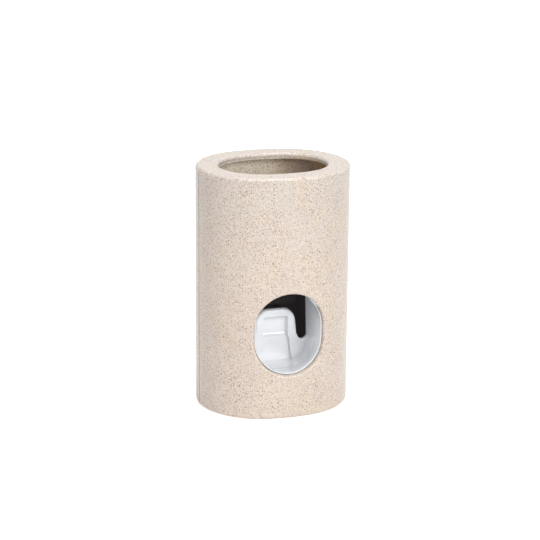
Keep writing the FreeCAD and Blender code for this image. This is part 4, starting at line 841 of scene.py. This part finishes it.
class DISPENSER_OT_lip(Operator):
    """Carry the push cup's rim into the window with a thin lip"""

    bl_idname = "dispenser.lip"
    bl_label = "Cup lip"

    def execute(self, context):
        cup = frame["nodes"]["push_paddle"]
        rings, poles = lip_rings(context.scene.dispenser.lip)
        lip = skin_object("push_paddle_lip", rings, poles, cup.material_slots[0].material)
        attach(lip, "push_cup")
        return {"FINISHED"}


class DISPENSER_OT_pad(Operator):
    """Make the foam pad that sticks the wall plate to the wall"""

    bl_idname = "dispenser.pad"
    bl_label = "Adhesive pad"

    def execute(self, context):
        settings = context.scene.dispenser
        rings, poles = pad_rings(settings.pad, PAD_LOW, PAD_HIGH)
        foam = skin_object("adhesive_pad_foam", rings, poles, foam_material(settings.plastic))
        stand_in(foam, "adhesive_pad")
        return {"FINISHED"}


def stand_in(piece, node):
    """Let a piece ride with a CAD node's body and stand for the node."""
    bodies = frame["record"]["behaviour"]["bodies"]
    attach(piece, next(body for body, members in bodies.items() if node in members))
    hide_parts(node)


class DISPENSER_OT_studio(Operator):
    """Set up the camera, the pale floor, the sky and the lamps"""

    bl_idname = "dispenser.studio"
    bl_label = "Studio"

    def execute(self, context):
        studio = context.scene.dispenser.studio
        context.scene.view_settings.view_transform = "Standard"
        place_camera(context.scene, studio)
        lay_floor(studio)
        light_sky(context.scene, studio)
        for name in LAMPS:
            add_lamp(name, studio)
        return {"FINISHED"}


def direction(azimuth, elevation):
    """From the object towards an angle round it and an angle above the horizon."""
    level = math.cos(elevation)
    return Vector((
        math.sin(azimuth) * level, -math.cos(azimuth) * level, math.sin(elevation)))


def place_camera(scene, studio):
    """Put the camera on its circle round the object and turn it to its aim."""
    back = direction(studio.azimuth, studio.elevation)
    place = Vector((0, 0, studio.middle)) + back * studio.distance
    turn = (place - Vector(studio.aim)).to_track_quat("Z", "Y").to_matrix().to_4x4()
    lens = bpy.data.cameras.new("camera")
    lens.lens = studio.lens
    lens.sensor_width = studio.sensor
    camera = bpy.data.objects.new("camera", lens)
    camera.matrix_world = Matrix.Translation(place) @ turn @ Matrix.Rotation(studio.roll, 4, "Z")
    scene.collection.objects.link(camera)
    scene.camera = camera


def seen_directly(tree):
    """A socket that is one for rays that the viewer sees, directly, mirrored or through glass."""
    path = tree.nodes.new("ShaderNodeLightPath")
    total = path.outputs["Is Camera Ray"]
    for kind in ("Is Glossy Ray", "Is Transmission Ray"):
        larger = tree.nodes.new("ShaderNodeMath")
        larger.operation = "MAXIMUM"
        tree.links.new(total, larger.inputs[0])
        tree.links.new(path.outputs[kind], larger.inputs[1])
        total = larger.outputs[0]
    return total


def lay_floor(studio):
    """A wide pale floor that keeps the object's shadow and looks white to the viewer."""
    half = studio.floor_size / 2
    mesh = bpy.data.meshes.new("floor")
    mesh.from_pydata(
        [(-half, -half, 0), (half, -half, 0), (half, half, 0), (-half, half, 0)], [],
        [(0, 1, 2, 3)])
    floor = bpy.data.objects.new("floor", mesh)
    bpy.context.scene.collection.objects.link(floor)
    material = bpy.data.materials.new("pale floor")
    material.use_nodes = True
    tree = material.node_tree
    shader = tree.nodes["Principled BSDF"]
    shader.inputs["Base Color"].default_value = FLOOR_COLOUR
    shader.inputs["Roughness"].default_value = FLOOR_ROUGHNESS
    shader.inputs["Specular IOR Level"].default_value = FLOOR_GLOSS
    shader.inputs["Emission Color"].default_value = (1, 1, 1, 1)
    place = tree.nodes.new("ShaderNodeTexCoord")
    away = tree.nodes.new("ShaderNodeVectorMath")
    away.operation = "LENGTH"
    tree.links.new(place.outputs["Object"], away.inputs[0])
    whiter = tree.nodes.new("ShaderNodeMapRange")
    whiter.inputs["From Min"].default_value = studio.near_floor
    whiter.inputs["From Max"].default_value = studio.far_floor
    whiter.inputs["To Min"].default_value = studio.floor_glow
    tree.links.new(away.outputs["Value"], whiter.inputs["Value"])
    glow = tree.nodes.new("ShaderNodeMath")
    glow.operation = "MULTIPLY"
    tree.links.new(seen_directly(tree), glow.inputs[0])
    tree.links.new(whiter.outputs["Result"], glow.inputs[1])
    tree.links.new(glow.outputs[0], shader.inputs["Emission Strength"])
    mesh.materials.append(material)


def light_sky(scene, studio):
    """Even light from all round, which the viewer sees as white."""
    sky = bpy.data.worlds.new("sky")
    sky.use_nodes = True
    tree = sky.node_tree
    strength = tree.nodes.new("ShaderNodeMapRange")
    strength.inputs["To Min"].default_value = studio.sky
    tree.links.new(seen_directly(tree), strength.inputs["Value"])
    background = tree.nodes["Background"]
    background.inputs["Color"].default_value = (1, 1, 1, 1)
    tree.links.new(strength.outputs["Result"], background.inputs["Strength"])
    scene.world = sky


def add_lamp(name, studio):
    """A square lamp that faces the object from its azimuth and elevation."""
    lamp = bpy.data.lights.new(f"{name} lamp", "AREA")
    lamp.size = getattr(studio, f"{name}_size")
    lamp.energy = getattr(studio, f"{name}_power")
    lamp.color = getattr(studio, f"{name}_tint")
    back = direction(getattr(studio, f"{name}_azimuth"), getattr(studio, f"{name}_elevation"))
    holder = bpy.data.objects.new(f"{name} lamp", lamp)
    holder.location = Vector((0, 0, studio.middle)) + back * studio.lamp_distance
    holder.rotation_euler = back.to_track_quat("Z", "Y").to_euler()
    bpy.context.scene.collection.objects.link(holder)


class DISPENSER_PT_panel(Panel):
    """Lists the dispenser's sizes, colours and steps."""

    bl_idname = "DISPENSER_PT_panel"
    bl_label = "Toothpaste dispenser"
    bl_space_type = "VIEW_3D"
    bl_region_type = "UI"
    bl_category = "Dispenser"

    def draw(self, context):
        settings = context.scene.dispenser
        for step in STEPS:
            self.layout.operator(step.bl_idname)
        for group in ("shells", "plastic", "spring", "bellows", "lip", "pad", "studio"):
            values = getattr(settings, group)
            section = self.layout.box()
            section.label(text=group.capitalize())
            for key in values.__annotations__:
                section.prop(values, key)


STEPS = (
    DISPENSER_OT_shells, DISPENSER_OT_white_parts, DISPENSER_OT_black_parts,
    DISPENSER_OT_steel_parts, DISPENSER_OT_rubber_parts, DISPENSER_OT_springs,
    DISPENSER_OT_bellows, DISPENSER_OT_lip, DISPENSER_OT_pad, DISPENSER_OT_studio)
CLASSES = (
    ShellFinish, PlasticFinish, SpringShape, BellowsShape, LipShape, PadShape, Studio,
    DispenserSettings, *STEPS, DISPENSER_PT_panel)


def register():
    """Make the classes known and give the scene its settings."""
    for kind in CLASSES:
        bpy.utils.register_class(kind)
    bpy.types.Scene.dispenser = PointerProperty(type=DispenserSettings)


def unregister():
    """Take the settings and the classes away again."""
    del bpy.types.Scene.dispenser
    for kind in reversed(CLASSES):
        bpy.utils.unregister_class(kind)


def main():
    """Run every step in order."""
    register()
    for step in STEPS:
        group, name = step.bl_idname.split(".")
        getattr(getattr(bpy.ops, group), name)()


if __name__ == "__main__":
    main()
